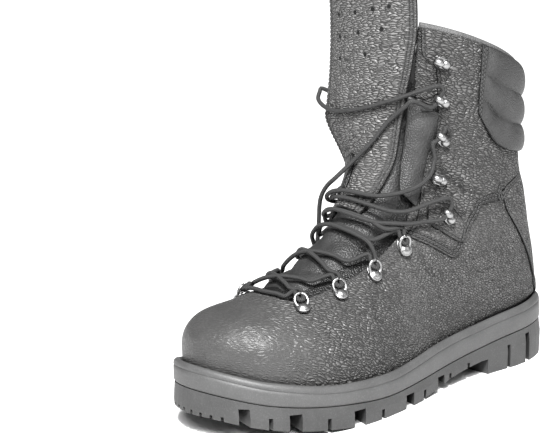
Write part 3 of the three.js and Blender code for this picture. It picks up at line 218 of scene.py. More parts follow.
def face(v, a):
    """The upper's outer face: `a` is 0 on the ridge, 1 or -1 at the rim or the back's middle."""
    v, a = np.broadcast_arrays(np.asarray(v, float), np.asarray(a, float))
    around = np.where(a > 1, a - 2, np.where(a < -1, a + 2, a))
    side = np.where(around < 0, -1.0, 1.0)
    share = np.abs(around)
    top, low = ridge_point(v), low_end(v, side)
    half = side * (low[..., 1] - top[..., 1])
    own = np.where(side > 0, value("outer", v), value("inner", v))
    belly = mix(half + value("swell", v) * np.clip(v, 0, 1), own * SHAFT_WIDTH, value("own", v))
    widest = value("widest", v)
    above = share < UPPER_SHARE
    lower_share = (share - UPPER_SHARE) / (1 - UPPER_SHARE)
    angle = np.where(above, 1 - share / UPPER_SHARE, lower_share) * math.pi / 2
    cosine, sine = np.clip(np.cos(angle), 0, 1), np.clip(np.sin(angle), 0, 1)
    crown = value("crown", v)
    width = np.where(above, belly * cosine**crown, half + (belly - half) * cosine**value("keel", v))
    height = np.where(above, widest + (1 - widest) * sine**crown, widest * (1 - sine))
    bow = COLLAR_BOW * ease((v - HEEL_ROW) / (COLLAR_ROW - HEEL_ROW)) * np.sin(math.pi * height)
    return np.stack([mix(low[..., 0], top[..., 0], height), top[..., 1] + side * width,
                     mix(low[..., 2], top[..., 2], height) + bow], -1)


def face_normal(v, a):
    v, a = np.broadcast_arrays(np.asarray(v, float), np.asarray(a, float))
    dv, da = 0.03, 0.012
    along = face(np.clip(v + dv, 0, COLLAR_ROW), a) - face(np.clip(v - dv, 0, COLLAR_ROW), a)
    closed = v >= HEEL_ROW
    high = np.where(closed, a + da, np.clip(a + da, -1, 1))
    low = np.where(closed, a - da, np.clip(a - da, -1, 1))
    return unit(np.cross(face(v, high) - face(v, low), along))


def off_face(v, a, off):
    return face(v, a) + face_normal(v, a) * np.asarray(off, float)[..., None]


# Lengths along the sections, for places measured from the ridge or from the low end.
LENGTH_ROWS, LENGTH_SHARES = np.linspace(0, COLLAR_ROW, 321), np.linspace(0, 1, 61)
LENGTHS = {}
for half_side in (1, -1):
    fan = face(LENGTH_ROWS[:, None], half_side * LENGTH_SHARES[None, :])
    steps = np.linalg.norm(np.diff(fan, axis=1), axis=2)
    LENGTHS[half_side] = np.concatenate([np.zeros((len(fan), 1)), np.cumsum(steps, axis=1)], 1)


def at_length(v, side, distance, from_low_end=False):
    """The way around at a distance along a section."""
    v, side, distance = np.broadcast_arrays(*(np.asarray(x, float) for x in (v, side, distance)))
    row = np.clip(v, 0, COLLAR_ROW).ravel() / (LENGTH_ROWS[1] - LENGTH_ROWS[0])
    k = np.clip(row.astype(int), 0, len(LENGTH_ROWS) - 2)
    t = (row - k)[:, None]
    sides = side.ravel()
    lengths = np.where(sides[:, None] > 0, mix(LENGTHS[1][k], LENGTHS[1][k + 1], t),
                       mix(LENGTHS[-1][k], LENGTHS[-1][k + 1], t))
    total = lengths[:, -1]
    target = np.clip(total - distance.ravel() if from_low_end else distance.ravel(), 0, total)
    j = np.clip((lengths < target[:, None]).sum(1), 1, len(LENGTH_SHARES) - 1)
    picks = np.arange(len(j))
    part = (target - lengths[picks, j - 1]) / (lengths[picks, j] - lengths[picks, j - 1])
    return (sides * (j - 1 + part) / (len(LENGTH_SHARES) - 1)).reshape(v.shape)


def facing_gap(v):
    """How far each edge of the throat lies from the ridge."""
    opened = np.clip((v - THROAT_ROW) / THROAT_EASE, 0, 1)
    return value("gap", v) * np.sqrt(opened * (2 - opened))


TONGUE = [  # row, stand over the ridge, half width, drop of its edges, swing to the inner side
    (7.55, 3.0, 19, 4.0, 7), (8.60, 3.6, 28, 5.0, 11.5), (9.50, 4.2, 35.5, 6.5, 15.5),
    (10.5, 4.8, 37, 7.5, 16), (12.0, 5.6, 37.5, 8.5, 14.5), (14.0, 6.6, 39.5, 10.0, 11),
    (16.0, 7.6, 41, 11.0, 8.5), (17.4, 8.4, 41, 10.5, 7.5), (18.4, 8.8, 40, 10.0, 7.5),
]
TONGUE_BASE, TONGUE_END, TONGUE_ROUND = TONGUE[0][0], TONGUE[-1][0], 0.7


def tongue_point(v, spread):
    """The tongue's back face: on the upper at its root, free higher up."""
    v, spread = np.broadcast_arrays(np.asarray(v, float), np.asarray(spread, float))
    along = unit(ridge_point(v + 0.05) - ridge_point(v - 0.05))
    out = unit(np.cross([0.0, 1.0, 0.0], along))
    rounding = np.clip((v - (TONGUE_END - TONGUE_ROUND)) / TONGUE_ROUND, 0, 1)
    half = between(TONGUE, 2, v) * np.sqrt(1 - 0.55 * rounding**2)
    stand = between(TONGUE, 1, v)
    aside = half * spread - between(TONGUE, 4, v)
    flat = ridge_point(v) + out * (stand - between(TONGUE, 3, v) * spread**2)[..., None]
    flat[..., 1] += aside
    free = ease((v - 8.2) / 2.5)[..., None]
    a = at_length(v, np.where(aside < 0, -1, 1), np.abs(aside))
    return mix(off_face(np.clip(v, 0, COLLAR_ROW), a, stand), flat, free)


def tongue_normal(v, spread):
    p = tongue_point(v, spread)
    ahead = tongue_point(v + 0.05, spread) - p
    aside = tongue_point(v, spread + 0.05) - p
    return unit(np.cross(aside, ahead))


# Meshes. Points are in the last's millimetres until `mesh_piece` puts them in the row frame.
def mesh_piece(name, points, faces, *materials):
    mesh = bpy.data.meshes.new(name)
    mesh.from_pydata(((np.asarray(points) + FRAME_SHIFT) / 1000).tolist(), [], faces)
    mesh.update()
    mesh.polygons.foreach_set("use_smooth", [True] * len(mesh.polygons))
    for material in materials:
        mesh.materials.append(material)
    piece = bpy.data.objects.new(name, mesh)
    bpy.context.scene.collection.objects.link(piece)
    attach(piece, "root")
    return piece


def keep_values(piece, **columns):
    """Stores a number per point that the piece's finish reads."""
    for name, column in columns.items():
        made = piece.data.attributes.new(name, "FLOAT", "POINT")
        made.data.foreach_set("value", np.ascontiguousarray(column, dtype=np.float32).ravel())


def grid_faces(rows, columns, start=0, flip=False, wrap=False):
    r = np.arange(rows - 1)[:, None]
    c = np.arange(columns if wrap else columns - 1)[None, :]
    a = start + r * columns + c
    b = start + r * columns + (c + 1) % columns
    quads = np.stack([a, b, b + columns, a + columns], -1).reshape(-1, 4)
    return quads[:, ::-1] if flip else quads


def closed_shell(front, back):
    """Points and faces of a closed sheet with the two given sides."""
    rows, columns = front.shape[:2]
    count = rows * columns
    border = np.concatenate([
        np.arange(columns), np.arange(1, rows) * columns + columns - 1,
        (rows - 1) * columns + np.arange(columns - 2, -1, -1),
        np.arange(rows - 2, 0, -1) * columns])
    following = np.roll(border, -1)
    rim = np.stack([following, border, border + count, following + count], 1)
    faces = np.concatenate([grid_faces(rows, columns), grid_faces(rows, columns, count, flip=True), rim])
    points = np.concatenate([front.reshape(-1, 3), back.reshape(-1, 3)])
    middle = (front - back).reshape(-1, 3)
    a, b, c = (points[faces[:len(grid_faces(rows, columns)), k]] for k in (0, 1, 2))
    outward = (np.cross(b - a, c - a) * middle[faces[:len(a), 0]]).sum()
    return points, (faces if outward > 0 else faces[:, ::-1]).tolist()


# Creases, soft troughs with a low ridge beside them: width and depth in millimetres, then
# points as section row and distance from the ridge, under 0 on the inner side.
CREASES = [
    (2.6, 0.9, [(9.35, 48), (9.22, 60), (9.28, 74), (9.5, 88)]),
    (3.0, 0.8, [(10.3, 47), (10.1, 62), (10.15, 78), (10.35, 92)]),
    (2.2, 0.7, [(8.2, 54), (8.0, 66), (8.0, 78), (8.15, 92)]),
    (2.4, 0.6, [(6.6, 50), (6.3, 62), (6.2, 74)]),
    (2.2, 0.5, [(7.3, 56), (7.05, 68), (7.05, 80)]),
    (2.6, 0.9, [(9.35, -48), (9.22, -60), (9.28, -74), (9.5, -88)]),
    (3.0, 0.8, [(10.3, -47), (10.1, -62), (10.15, -78), (10.35, -92)]),
    (2.4, 0.6, [(6.6, -50), (6.3, -62), (6.2, -74)]),
]


def crease_line(spots, count=14):
    """Fine points of a crease on the upper's face."""
    spots = np.array(spots, float)
    t = np.linspace(0, len(spots) - 1, (len(spots) - 1) * count + 1)
    v, distance = through(spots[:, 0], t), through(spots[:, 1], t)
    return face(v, at_length(v, np.where(distance < 0, -1, 1), np.abs(distance)))


def press(points, lines):
    """Height of the creases at the given points."""
    flat = points.reshape(-1, 3)
    height = np.zeros(len(flat))
    for width, depth, line in lines:
        near = np.all((flat > line.min(0) - 4 * width) & (flat < line.max(0) + 4 * width), axis=1)
        chosen = np.flatnonzero(near)
        if not len(chosen):
            continue
        apart = np.linalg.norm(flat[chosen][:, None] - line[None], axis=2)
        nearest = apart.argmin(1)
        distance = apart[np.arange(len(chosen)), nearest]
        fade = np.sin(math.pi * np.clip(nearest / (len(line) - 1), 0.02, 0.98)) ** 0.6
        trough = -np.exp(-((distance / width) ** 2))
        ridge = 0.35 * np.exp(-(((distance - 1.9 * width) / (0.8 * width)) ** 2))
        height[chosen] += depth * fade * (trough + ridge)
    return height.reshape(points.shape[:-1])


CREASE_LINES = [(width, depth, crease_line(spots)) for width, depth, spots in CREASES]


def sheet_lengths(points):
    """How far each point of a grid lies from its four edges."""
    down = np.linalg.norm(np.diff(points, axis=0), axis=2)
    down = np.concatenate([np.zeros((1, points.shape[1])), np.cumsum(down, axis=0)])
    across = np.linalg.norm(np.diff(points, axis=1), axis=2)
    across = np.concatenate([np.zeros((points.shape[0], 1)), np.cumsum(across, axis=1)], 1)
    return {"start": down, "end": down[-1:] - down, "left": across, "right": across[:, -1:] - across}


def edged(span, step, band=4.5):
    """Shares of a span in millimetres, closer together along the edges that are sewn."""
    near = np.concatenate([[0, 0.12, 0.3], np.arange(0.5, band + 0.01, 0.5)])
    count = max(int((span - 2 * near[-1]) / step), 1)
    inner = np.linspace(near[-1], span - near[-1], count + 1)[1:-1]
    return np.unique(np.round(np.concatenate([near, inner, span - near[::-1]]) / span, 6))


SEWN = []  # every stitched line: its points and the leather's normals there


def inset_line(points, normals, side, inset):
    """The line at a distance inside one edge of a grid."""
    if side in ("start", "end"):
        points, normals = points.swapaxes(0, 1), normals.swapaxes(0, 1)
    if side in ("end", "right"):
        points, normals = points[:, ::-1], normals[:, ::-1]
    lengths = np.concatenate([np.zeros((len(points), 1)), np.cumsum(
        np.linalg.norm(np.diff(points, axis=1), axis=2), axis=1)], 1)
    line = [[np.interp(inset, lengths[k], grid[k][:, axis]) for axis in range(3)]
            for k in range(len(points)) for grid in (points, normals)]
    return np.array(line[0::2]), unit(np.array(line[1::2]))


# SEAM_WIDTH sets the pressed seams' width, in the leather and in their painted shade; the third value is
# the width of the painted shade along cut edges.
SEAM_WIDTH, SEAM_DEPTH, CUT_SHADE_WIDTH = 0.8, 0.4, 0.45


def edge_thickness(apart, radius):
    """The share of a sheet's thickness that is left at a distance from its rounded edge."""
    near = np.clip(1 - apart / radius, 0, 1)
    return 0.3 + 0.7 * np.sqrt(1 - near**2)


def pressed_seam(apart):
    return np.exp(-((apart / SEAM_WIDTH) ** 2))


def panel(name, rows, columns, place, base, thick, material, surface=(face, face_normal),
          sewn=(), cut=("start", "end", "left", "right"), lines=CREASE_LINES, swell=None,
          edge_radius=1.2, outline=None, outline_sewn=()):
    """A sheet laid over the boot, with soft edges, pressed seams and the creases under it.

    `outline` is a curved edge of its own, sewn along it at the distances in `outline_sewn`."""
    s, t = np.meshgrid(rows, columns, indexing="ij")
    v, a = place(s, t)
    points, normals = surface[0](v, a), surface[1](v, a)
    lengths = sheet_lengths(points)
    rounding = np.ones(s.shape)
    # The second grid is painted shade along the pressed seams and the cut edges; it is stored as the seam
    # value.
    height, seam_shade = np.zeros(s.shape), np.zeros(s.shape)
    creased = press(points, lines)
    for side, inset in sewn:
        pressed = pressed_seam(lengths[side] - inset)
        height -= SEAM_DEPTH * pressed
        seam_shade += pressed
    if swell is not None:
        height += swell(v, a, s, t)
    for side in cut:
        rounding = np.minimum(rounding, edge_thickness(lengths[side], edge_radius))
        seam_shade += 1.3 * np.exp(-((lengths[side] / CUT_SHADE_WIDTH) ** 2))
    if outline is not None:
        apart = nearest_distance(points + normals * (base + thick), outline[0])
        rounding = np.minimum(rounding, edge_thickness(apart, edge_radius))
        seam_shade += 1.3 * np.exp(-((apart / 0.5) ** 2))
        for inset in outline_sewn:
            pressed = pressed_seam(apart - inset)
            height -= SEAM_DEPTH * pressed
            seam_shade += pressed
    front = points + normals * (base + thick * rounding + height + creased)[..., None]
    back = points + normals * (base + 0.35 * np.minimum(height + creased, 0))[..., None]
    shell_points, faces = closed_shell(front, back)
    count = s.size
    piece = mesh_piece(name, shell_points, faces, material)
    # The finishes paint crease as shade and ridge as highlight; seam is painted shade, in full on the back
    # and side walls.
    keep_values(piece, crease=np.concatenate([np.clip(-creased, 0, 2).ravel(), np.zeros(count)]),
                ridge=np.concatenate([np.clip(creased, 0, 2).ravel(), np.zeros(count)]),
                seam=np.concatenate([np.clip(seam_shade, 0, 1).ravel(), np.ones(count)]))
    for side, inset in sewn:
        line, line_normals = inset_line(front, normals, side, inset)
        SEWN.append((line, line_normals))
    for inset in outline_sewn:
        line, line_normals = outline
        inwards = unit(np.cross(np.gradient(line, axis=0), line_normals))
        middle = front.reshape(-1, 3).mean(0)
        inwards *= np.sign(((middle - line) * inwards).sum())
        SEWN.append((line + inwards * inset, line_normals))
    return piece


def nearest_distance(points, line, reach=9):
    """How far each point lies from a line, up to a reach."""
    flat = points.reshape(-1, 3)
    apart = np.full(len(flat), float(reach))
    near = np.all((flat > line.min(0) - reach) & (flat < line.max(0) + reach), axis=1)
    for part in np.array_split(np.flatnonzero(near), 24):
        if len(part):
            gaps = np.linalg.norm(flat[part][:, None] - line[None], axis=2).min(1)
            apart[part] = np.minimum(gaps, reach)
    return apart.reshape(points.shape[:-1])


class Value:
    """A shader socket. Sums written with it add their Math nodes."""

    def __init__(self, finish, socket):
        self.finish, self.socket = finish, socket

    def maths(self, operation, first, second=0.0):
        return self.finish.node("ShaderNodeMath", {"operation": operation}, {0: first, 1: second})

    def __add__(self, other):
        return self.maths("ADD", self, other)

    def __sub__(self, other):
        return self.maths("SUBTRACT", self, other)

    def __rsub__(self, other):
        return self.maths("SUBTRACT", other, self)

    def __mul__(self, other):
        return self.maths("MULTIPLY", self, other)

    __radd__ = __add__
    __rmul__ = __mul__

    def lowest(self, other):
        return self.maths("MINIMUM", self, other)

    def highest(self, other):
        return self.maths("MAXIMUM", self, other)

    def wave(self):
        return self.maths("SINE", self)

    def size(self):
        return self.maths("ABSOLUTE", self)


class Finish:
    """A procedural material. `node` adds any node; `surface` fills the shader's sockets."""

    def __init__(self, name):
        self.material = bpy.data.materials.new(name)
        self.material.use_nodes = True
        self.tree = self.material.node_tree
        self.shader = self.tree.nodes["Principled BSDF"]

    def fill(self, made, sockets):
        for key, source in sockets.items():
            if isinstance(source, Value):
                self.tree.links.new(source.socket, made.inputs[key])
            else:
                made.inputs[key].default_value = source

    def node(self, kind, settings=None, sockets=None, output=0):
        made = self.tree.nodes.new(kind)
        for key, setting in (settings or {}).items():
            if key == "stops":
                ramp = made.color_ramp
                while len(ramp.elements) < len(setting):
                    ramp.elements.new(0.5)
                for element, (place, shade) in zip(ramp.elements, setting):
                    element.position, element.color = place, (shade, shade, shade, 1)
            else:
                setattr(made, key, setting)
        self.fill(made, sockets or {})
        return Value(self, made.outputs[output])

    def surface(self, **sockets):
        self.fill(self.shader, {key.replace("_", " "): source for key, source in sockets.items()})
        return self.material

    def place(self):
        return self.node("ShaderNodeTexCoord", output=3)

    def stored(self, name):
        return self.node("ShaderNodeAttribute", {"attribute_name": name}, output=2)

    def along(self, place, axis):
        return self.node("ShaderNodeSeparateXYZ", None, {0: place}, output=axis)

    def cells(self, place, size, feature="F1", jitter=1.0):
        """Distances inside cells of a size in millimetres."""
        return self.node("ShaderNodeTexVoronoi", {"feature": feature},
                         {"Vector": place, "Scale": 1000 / size, "Randomness": jitter})

    def cloud(self, place, size, detail=3.0, roughness=0.55):
        """Soft noise with lumps of a size in millimetres."""
        return self.node("ShaderNodeTexNoise", None, {
            "Vector": place, "Scale": 1000 / size, "Detail": detail, "Roughness": roughness})

    def ramp(self, source, *stops):
        return self.node("ShaderNodeValToRGB", {"stops": stops}, {0: source})

    def step(self, source, low, high):
        return self.node("ShaderNodeMapRange", {"interpolation_type": "SMOOTHSTEP"},
                         {0: source, 1: low, 2: high})

    def colours(self, factor, first, second):
        return self.node("ShaderNodeMix", {"data_type": "RGBA"}, {0: factor, 6: first, 7: second}, output=2)

    def relief(self, height, depth, under=None):
        """A bump of a depth in millimetres where the height goes from 0 to 1."""
        sockets = {"Strength": 1.0, "Distance": depth / 1000, "Height": height}
        if under is not None:
            sockets["Normal"] = under
        return self.node("ShaderNodeBump", None, sockets)


def grey(shade, warmth=0.0):
    return (shade * (1 + warmth), shade, shade * (1 - warmth), 1)


def leather(name, dark, pale, roughness, regions, depth=0.5):
    """Pebbled leather. Each region: cell in millimetres, stretch and turn, and where it lies."""
    finish = Finish(name)
    place = finish.place()
    sway = finish.node("ShaderNodeTexNoise", None, {"Vector": place, "Scale": 150.0, "Detail": 0.0},
                       output=1)
    swayed = finish.node("ShaderNodeVectorMath", {"operation": "MULTIPLY_ADD"},
                         {0: sway, 1: (0.003, 0.003, 0.003), 2: place})
    top, lines = 0.0, 0.0
    for size, stretch, angles, share in regions:
        laid = finish.node("ShaderNodeMapping", {"vector_type": "TEXTURE"},
                           {0: swayed, 2: angles, 3: stretch})
        cells = finish.cells(laid, size, "DISTANCE_TO_EDGE", 0.85)
        here = share(finish, place)
        top = finish.step(cells, 0.0, 0.4) * here + top
        lines = (1 - finish.step(cells, 0.0, 0.19)) * here + lines
    patches = finish.cloud(place, 24, 3.0)
    smooth, seam = finish.stored("polish"), finish.stored("seam")
    grained = (1 - smooth) * (1 - seam * 0.7)
    # valley marks the grain's recesses, which are painted almost black below as shade.
    valley = lines * grained * (0.62 + patches * 0.5)
    fine = finish.cloud(place, 0.5, 2.0)
    crease, ridge = finish.stored("crease"), finish.stored("ridge")
    # Random tone, plus a lighter colour on the crease ridges: painted highlight.
    shade = (patches - 0.5) * 0.8 + 0.45 + ridge * 0.4 + (fine - 0.5) * 0.5
    tone = finish.colours(shade.highest(0.0).lowest(1.0), grey(dark, 0.01), grey(pale, 0.01))
    tone = finish.colours((smooth * 0.62).lowest(0.9), tone, grey(0.018))
    # Painted shade: the grain's valleys go almost black.
    tone = finish.colours(valley.lowest(0.95), tone, grey(0.002))
    # Painted shade in the creases, along pressed seams and cut edges, and on the sheets' back and side
    # walls.
    tone = finish.colours((crease * 0.55 + seam * 0.95).lowest(0.96), tone, grey(0.003))
    bumps = finish.relief(top * grained + fine * 0.12 + patches * 0.3, depth)
    rough = roughness + valley * 0.5 + patches * 0.12 - smooth * 0.03
    return finish.surface(Base_Color=tone, Roughness=rough, Normal=bumps)


def everywhere(finish, place):
    return 1.0


def on_vamp(finish, place):
    """The front of the foot, below the shaft."""
    return finish.step(finish.along(place, 0), -0.03, 0.03)


def on_heel_quarter(finish, place):
    low = 1 - finish.step(finish.along(place, 2), 0.085, 0.125)
    return low * (1 - on_vamp(finish, place))


def on_shaft(finish, place):
    return (1 - on_vamp(finish, place)) * finish.step(finish.along(place, 2), 0.085, 0.125)


def smooth_leather(name, dark, pale, roughness):
    """Soft lining-weight leather with a fine even grain."""
    finish = Finish(name)
    place = finish.place()
    fine = finish.cells(place, 1.1)
    patches = finish.cloud(place, 18, 5.0, 0.65)
    crease, ridge, seam = finish.stored("crease"), finish.stored("ridge"), finish.stored("seam")
    # Random tone, plus a lighter colour on the crease ridges: painted highlight.
    tone = finish.colours((patches - 0.15 + ridge * 0.45).lowest(1.0), grey(dark), grey(pale))
    # Painted shade in the creases, along pressed seams and cut edges, and on the sheets' back and side
    # walls.
    tone = finish.colours((crease * 0.5 + seam * 0.8).lowest(0.9), tone, grey(dark * 0.2))
    bumps = finish.relief((1 - fine) * 0.6 + patches * 0.8, 0.7)
    return finish.surface(Base_Color=tone, Roughness=roughness + patches * 0.16, Normal=bumps)


def rubber(name, dark, pale, roughness):
    """Moulded rubber with dusty specks."""
    finish = Finish(name)
    place = finish.place()
    dust = finish.ramp(finish.cloud(place, 0.9, 2.0), (0.52, 0.0), (0.72, 1.0))
    patches = finish.cloud(place, 22, 4.0)
    tone = finish.colours(patches * 0.7 + dust * 0.35, grey(dark), grey(pale))
    skin = finish.relief(finish.cloud(place, 0.7, 3.0) + patches * 0.8, 0.12)
    return finish.surface(Base_Color=tone, Roughness=roughness + patches * 0.14 - dust * 0.05,
                          Normal=skin)


def steel(name):
    """Nickelled steel, a little tarnished."""
    finish = Finish(name)
    place = finish.place()
    patches = finish.cloud(place, 4, 4.0)
    tone = finish.colours(patches, grey(0.3), grey(0.42))
    return finish.surface(Base_Color=tone, Metallic=1.0, Roughness=0.3 + patches * 0.12,
                          Normal=finish.relief(finish.cloud(place, 1.2, 2.0), 0.03))


def braid(name, shade):
    """Round braided cord: `braid` holds the way along and around it."""
    finish = Finish(name)
    laid = finish.node("ShaderNodeAttribute", {"attribute_name": "braid"}, output=1)
    along, around = finish.along(laid, 0), finish.along(laid, 1)
    over = ((along * 1.25 + around * 4.0) * math.pi).wave().size()
    under = ((along * 1.25 - around * 4.0) * math.pi).wave().size()
    plait = over.highest(under)
    fluff = finish.cloud(finish.place(), 0.5, 2.0)
    tone = finish.colours(plait * 0.8 + fluff * 0.2, grey(shade * 0.3), grey(shade * 1.6))
    return finish.surface(Base_Color=tone, Roughness=0.62 + fluff * 0.2,
                          Normal=finish.relief(plait, 0.35))


def cloth(name, shade, thread=0.9):
    """Woven lining cloth."""
    finish = Finish(name)
    place = finish.place()
    weave = ((finish.along(place, 0) + finish.along(place, 1)) * (2000 * math.pi / thread)).wave()
    weave = weave * (finish.along(place, 2) * (2000 * math.pi / thread)).wave()
    patches = finish.cloud(place, 14, 3.0)
    tone = finish.colours(weave * 0.25 + patches * 0.6, grey(shade * 0.6), grey(shade * 1.4))
    return finish.surface(Base_Color=tone, Roughness=0.85 + patches * 0.1,
                          Normal=finish.relief(weave * 0.5 + patches, 0.2))


GRAINED = leather("grained_black_leather", 0.06, 0.18, 0.35, [
    (1.45, (3.0, 3.0, 1.0), (0, -0.33, 0), on_shaft),
    (1.4, (3.1, 3.1, 1.0), (0.3, -0.5, 0), on_vamp),
    (1.3, (2.1, 2.1, 1.0), (0, -0.4, 0), on_heel_quarter)], depth=0.95)
TONGUE_LEATHER = leather("tongue_grained_leather", 0.12, 0.27, 0.42, [
    (1.4, (3.8, 3.8, 1.0), (0, 0, 0), everywhere)], depth=1.2)
SOFT = smooth_leather("soft_black_leather", 0.014, 0.085, 0.36)
PIPING = smooth_leather("piping_leather", 0.05, 0.2, 0.55)
RIM_RUBBER = rubber("rim_rubber", 0.055, 0.125, 0.42)
TREAD_RUBBER = rubber("tread_rubber", 0.035, 0.095, 0.5)
LINING = cloth("collar_lining_cloth", 0.035)
INSOLE_CLOTH = cloth("insole_cloth", 0.05, 1.2)
THREAD = braid("sewing_thread", 0.16)
CORD = braid("lace_braid", 0.03)
STEEL = steel("nickelled_steel")
# Near black: the punched holes' painted shade.
HOLE_SHADE = smooth_leather("painted_hole_shade", 0.004, 0.006, 0.8)


def standing(right, above, back, place):
    return Matrix([[right[k], above[k], back[k], place[k]] for k in range(3)] + [[0, 0, 0, 1]])


# The camera, solved from the photograph's own view of the sole, shaft and hooks.
def make_camera():
    azimuth, elevation, roll = (math.radians(x) for x in (141.259, 10.433, -1.926))
    distance, focal, right_by, up_by, picture_width = 935.557, 1371.336, -70.727, 8.554, 540
    back = np.array([math.sin(azimuth) * math.cos(elevation),
                     -math.cos(azimuth) * math.cos(elevation), math.sin(elevation)])
    right = unit(np.cross(-back, UP))
    above = np.cross(right, -back)
    right, above = (right * math.cos(roll) + above * math.sin(roll),
                    above * math.cos(roll) - right * math.sin(roll))
    target = np.array([SOLE_LENGTH / 2, 0, 110]) + right * right_by + above * up_by
    lens = bpy.data.cameras.new("camera")
    lens.sensor_width = 36
    lens.lens = focal / picture_width * lens.sensor_width
    lens.clip_end = 20
    camera = bpy.data.objects.new("camera", lens)
    place = (target + back * distance + FRAME_SHIFT) / 1000
    camera.matrix_world = standing(right, above, back, place)
    bpy.context.scene.collection.objects.link(camera)
    bpy.context.scene.camera = camera


make_camera()


# Eyelets: kind, row, distance from the ridge, and turn of the open end upwards.
EYELETS = [
    ("ring_1", 4.80, 32, 24), ("ring_2", 5.82, 38, 24), ("ring_3", 6.80, 42.5, 27),
    ("ring_4", 7.82, 47, 22), ("hook_1", 9.03, 67, 2), ("hook_2", 9.66, 53, -18),
    ("hook_3", 11.36, 50.5, 8), ("hook_4", 13.10, 47.5, 0), ("hook_5", 14.72, 46, 0),
]
QUARTER_LOW_ROW, TAB_TOP_ROW = 7.97, 9.4
SIDE_NAMES = {1: "outer", -1: "inner"}


def eyelet_matrix(v, side, distance, turn):
    """Axes towards the throat, along the facing and out from the leather, then the origin."""
    a = at_length(v, side, distance)
    normal = face_normal(v, a)
    layers = 1 if v > TAB_TOP_ROW else 2 if v > QUARTER_LOW_ROW else 0  # of leather under it
    lift = 2.5 * GAP + layers * (1.5 * GAP + OVERLAY)
    origin = off_face(v, a, lift)
    towards = off_face(v, a - side * 0.02, lift) - origin
    towards = unit(towards - normal * (towards @ normal))
    angle = -side * math.radians(turn)
    towards = towards * math.cos(angle) + np.cross(normal, towards) * math.sin(angle)
    return np.array([towards, np.cross(normal, towards), normal]), origin


EYELET_AT = {(kind, side): eyelet_matrix(row, side, distance, turn)
             for kind, row, distance, turn in EYELETS for side in (1, -1)}


def in_eyelet(kind, side, places):
    """Places given in an eyelet's own axes."""
    axes, origin = EYELET_AT[kind, side]
    return [np.array([x, -side * y, z]) @ axes + origin for x, y, z in places]


def in_ring(kind, side, up):
    """The strand's way out of a ring, below the other strand (-1) or above it (1)."""
    return in_eyelet(kind, side, [(1.6, 1.75 * up, 4.2), (6, 1.8 * up, 3.5), (10.5, 2.2 * up, 3.6)])


def from_hook(kind, side, up):
    """The strand's way from under a hook's nose, downwards (-1) or upwards (1)."""
    return in_eyelet(kind, side, [(4, 0.25 * up, 3.6), (3.9, 4.8 * up, 3.6), (5.2, 7 * up, 3.8)])


def around_hook(kind, side, up):
    """The strand's turn from a hook towards the throat."""
    return in_eyelet(kind, side, [(9, 8 * up, 4.6), (13, 5.5 * up, 6)])


def through_hook(kind, side, up):
    """A strand that passes behind a hook."""
    return in_eyelet(kind, side, [(5.2, -7 * up, 3.8), (4.1, -4.3 * up, 3.6),
                                  (4.1, 4.3 * up, 3.6), (5.2, 7 * up, 3.8)])


WAY_STEPS = 3


def way(rows, place):
    """Fine points through rows of section row, place across and height."""
    columns = np.array(rows, float).T
    t = np.arange((len(rows) - 1) * WAY_STEPS + 1) / WAY_STEPS
    return list(place(*(through(column, t) for column in columns)))


def foot_point(v, distance, height):
    """A point over the upper, at a distance from the ridge, under 0 on the inner side."""
    return off_face(v, at_length(v, np.where(np.asarray(distance) < 0, -1, 1), np.abs(distance)), height)


def over_foot(*rows):
    return way(rows, foot_point)


def on_tongue(v, spread, height):
    """A point over the tongue: `spread` is 1 at its outer edge and -1 at its inner one."""
    lift = (TONGUE_THICKNESS + height)[..., None]
    return tongue_point(v, spread) + tongue_normal(v, spread) * lift


def over_tongue(*rows):
    return way(rows, on_tongue)


def smooth_line(points, steps=10):
    """A centripetal curve through the points, as in the part's source."""
    p = np.array(points)
    p = np.concatenate([[2 * p[0] - p[1]], p, [2 * p[-1] - p[-2]]])
    line = []
    for k in range(1, len(p) - 2):
        p0, p1, p2, p3 = p[k - 1:k + 3]
        d0, d1, d2 = (math.sqrt(np.linalg.norm(q - r)) for q, r in ((p1, p0), (p2, p1), (p3, p2)))
        m1 = ((p1 - p0) / d0 - (p2 - p0) / (d0 + d1) + (p2 - p1) / d1) * d1
        m2 = ((p2 - p1) / d1 - (p3 - p1) / (d1 + d2) + (p3 - p2) / d2) * d1
        t = (np.arange(steps) / steps)[:, None]
        line.append(p1 + m1 * t + (3 * (p2 - p1) - 2 * m1 - m2) * t**2
                    + (2 * (p1 - p2) + m1 + m2) * t**3)
    return np.concatenate(line + [p[-2:-1]])


def evened(line, step):
    """The same line with its points a step apart."""
    lengths = lengths_along(line)
    places = np.linspace(0, lengths[-1], max(int(round(lengths[-1] / step)), 2) + 1)
    return at_lengths(places, lengths, line)


LACE_SIDES, LACE_STEP = 12, 1.2


def tube(line, radius, sides, closed=False):
    """Points and faces of a round tube; the frame is carried along without twist."""
    line = np.asarray(line)
    run = unit(np.roll(line, -1, 0) - np.roll(line, 1, 0)) if closed else unit(np.gradient(line, axis=0))
    normal = unit(np.cross(run[0], UP if abs(run[0][2]) < 0.9 else [1.0, 0, 0]))
    turn = np.linspace(0, 2 * math.pi, sides, endpoint=False)
    points = []
    for k in range(len(line)):
        normal = unit(normal - run[k] * (normal @ run[k]))
        other = np.cross(run[k], normal)
        points.append(line[k] + radius * (np.cos(turn)[:, None] * normal
                                          + np.sin(turn)[:, None] * other))
    points = np.concatenate(points)
    faces = grid_faces(len(line), sides, wrap=True)[:, ::-1]
    if closed:
        start = (len(line) - 1) * sides + np.arange(sides)
        offset = np.argmin(np.linalg.norm(points[:sides] - points[start[0]], axis=1))
        end = (np.arange(sides) + offset) % sides
        joint = np.stack([start, end, np.roll(end, -1), np.roll(start, -1)], 1)[:, ::-1]
        return points, np.concatenate([faces, joint]).tolist()
    first, last = len(points), len(points) + 1
    points = np.concatenate([points, line[:1], line[-1:]])
    ring = np.arange(sides)
    tip = (len(line) - 1) * sides
    caps = [[first, int(k), int((k + 1) % sides)] for k in ring]
    caps += [[last, int(tip + (k + 1) % sides), int(tip + k)] for k in ring]
    return points, faces.tolist() + caps


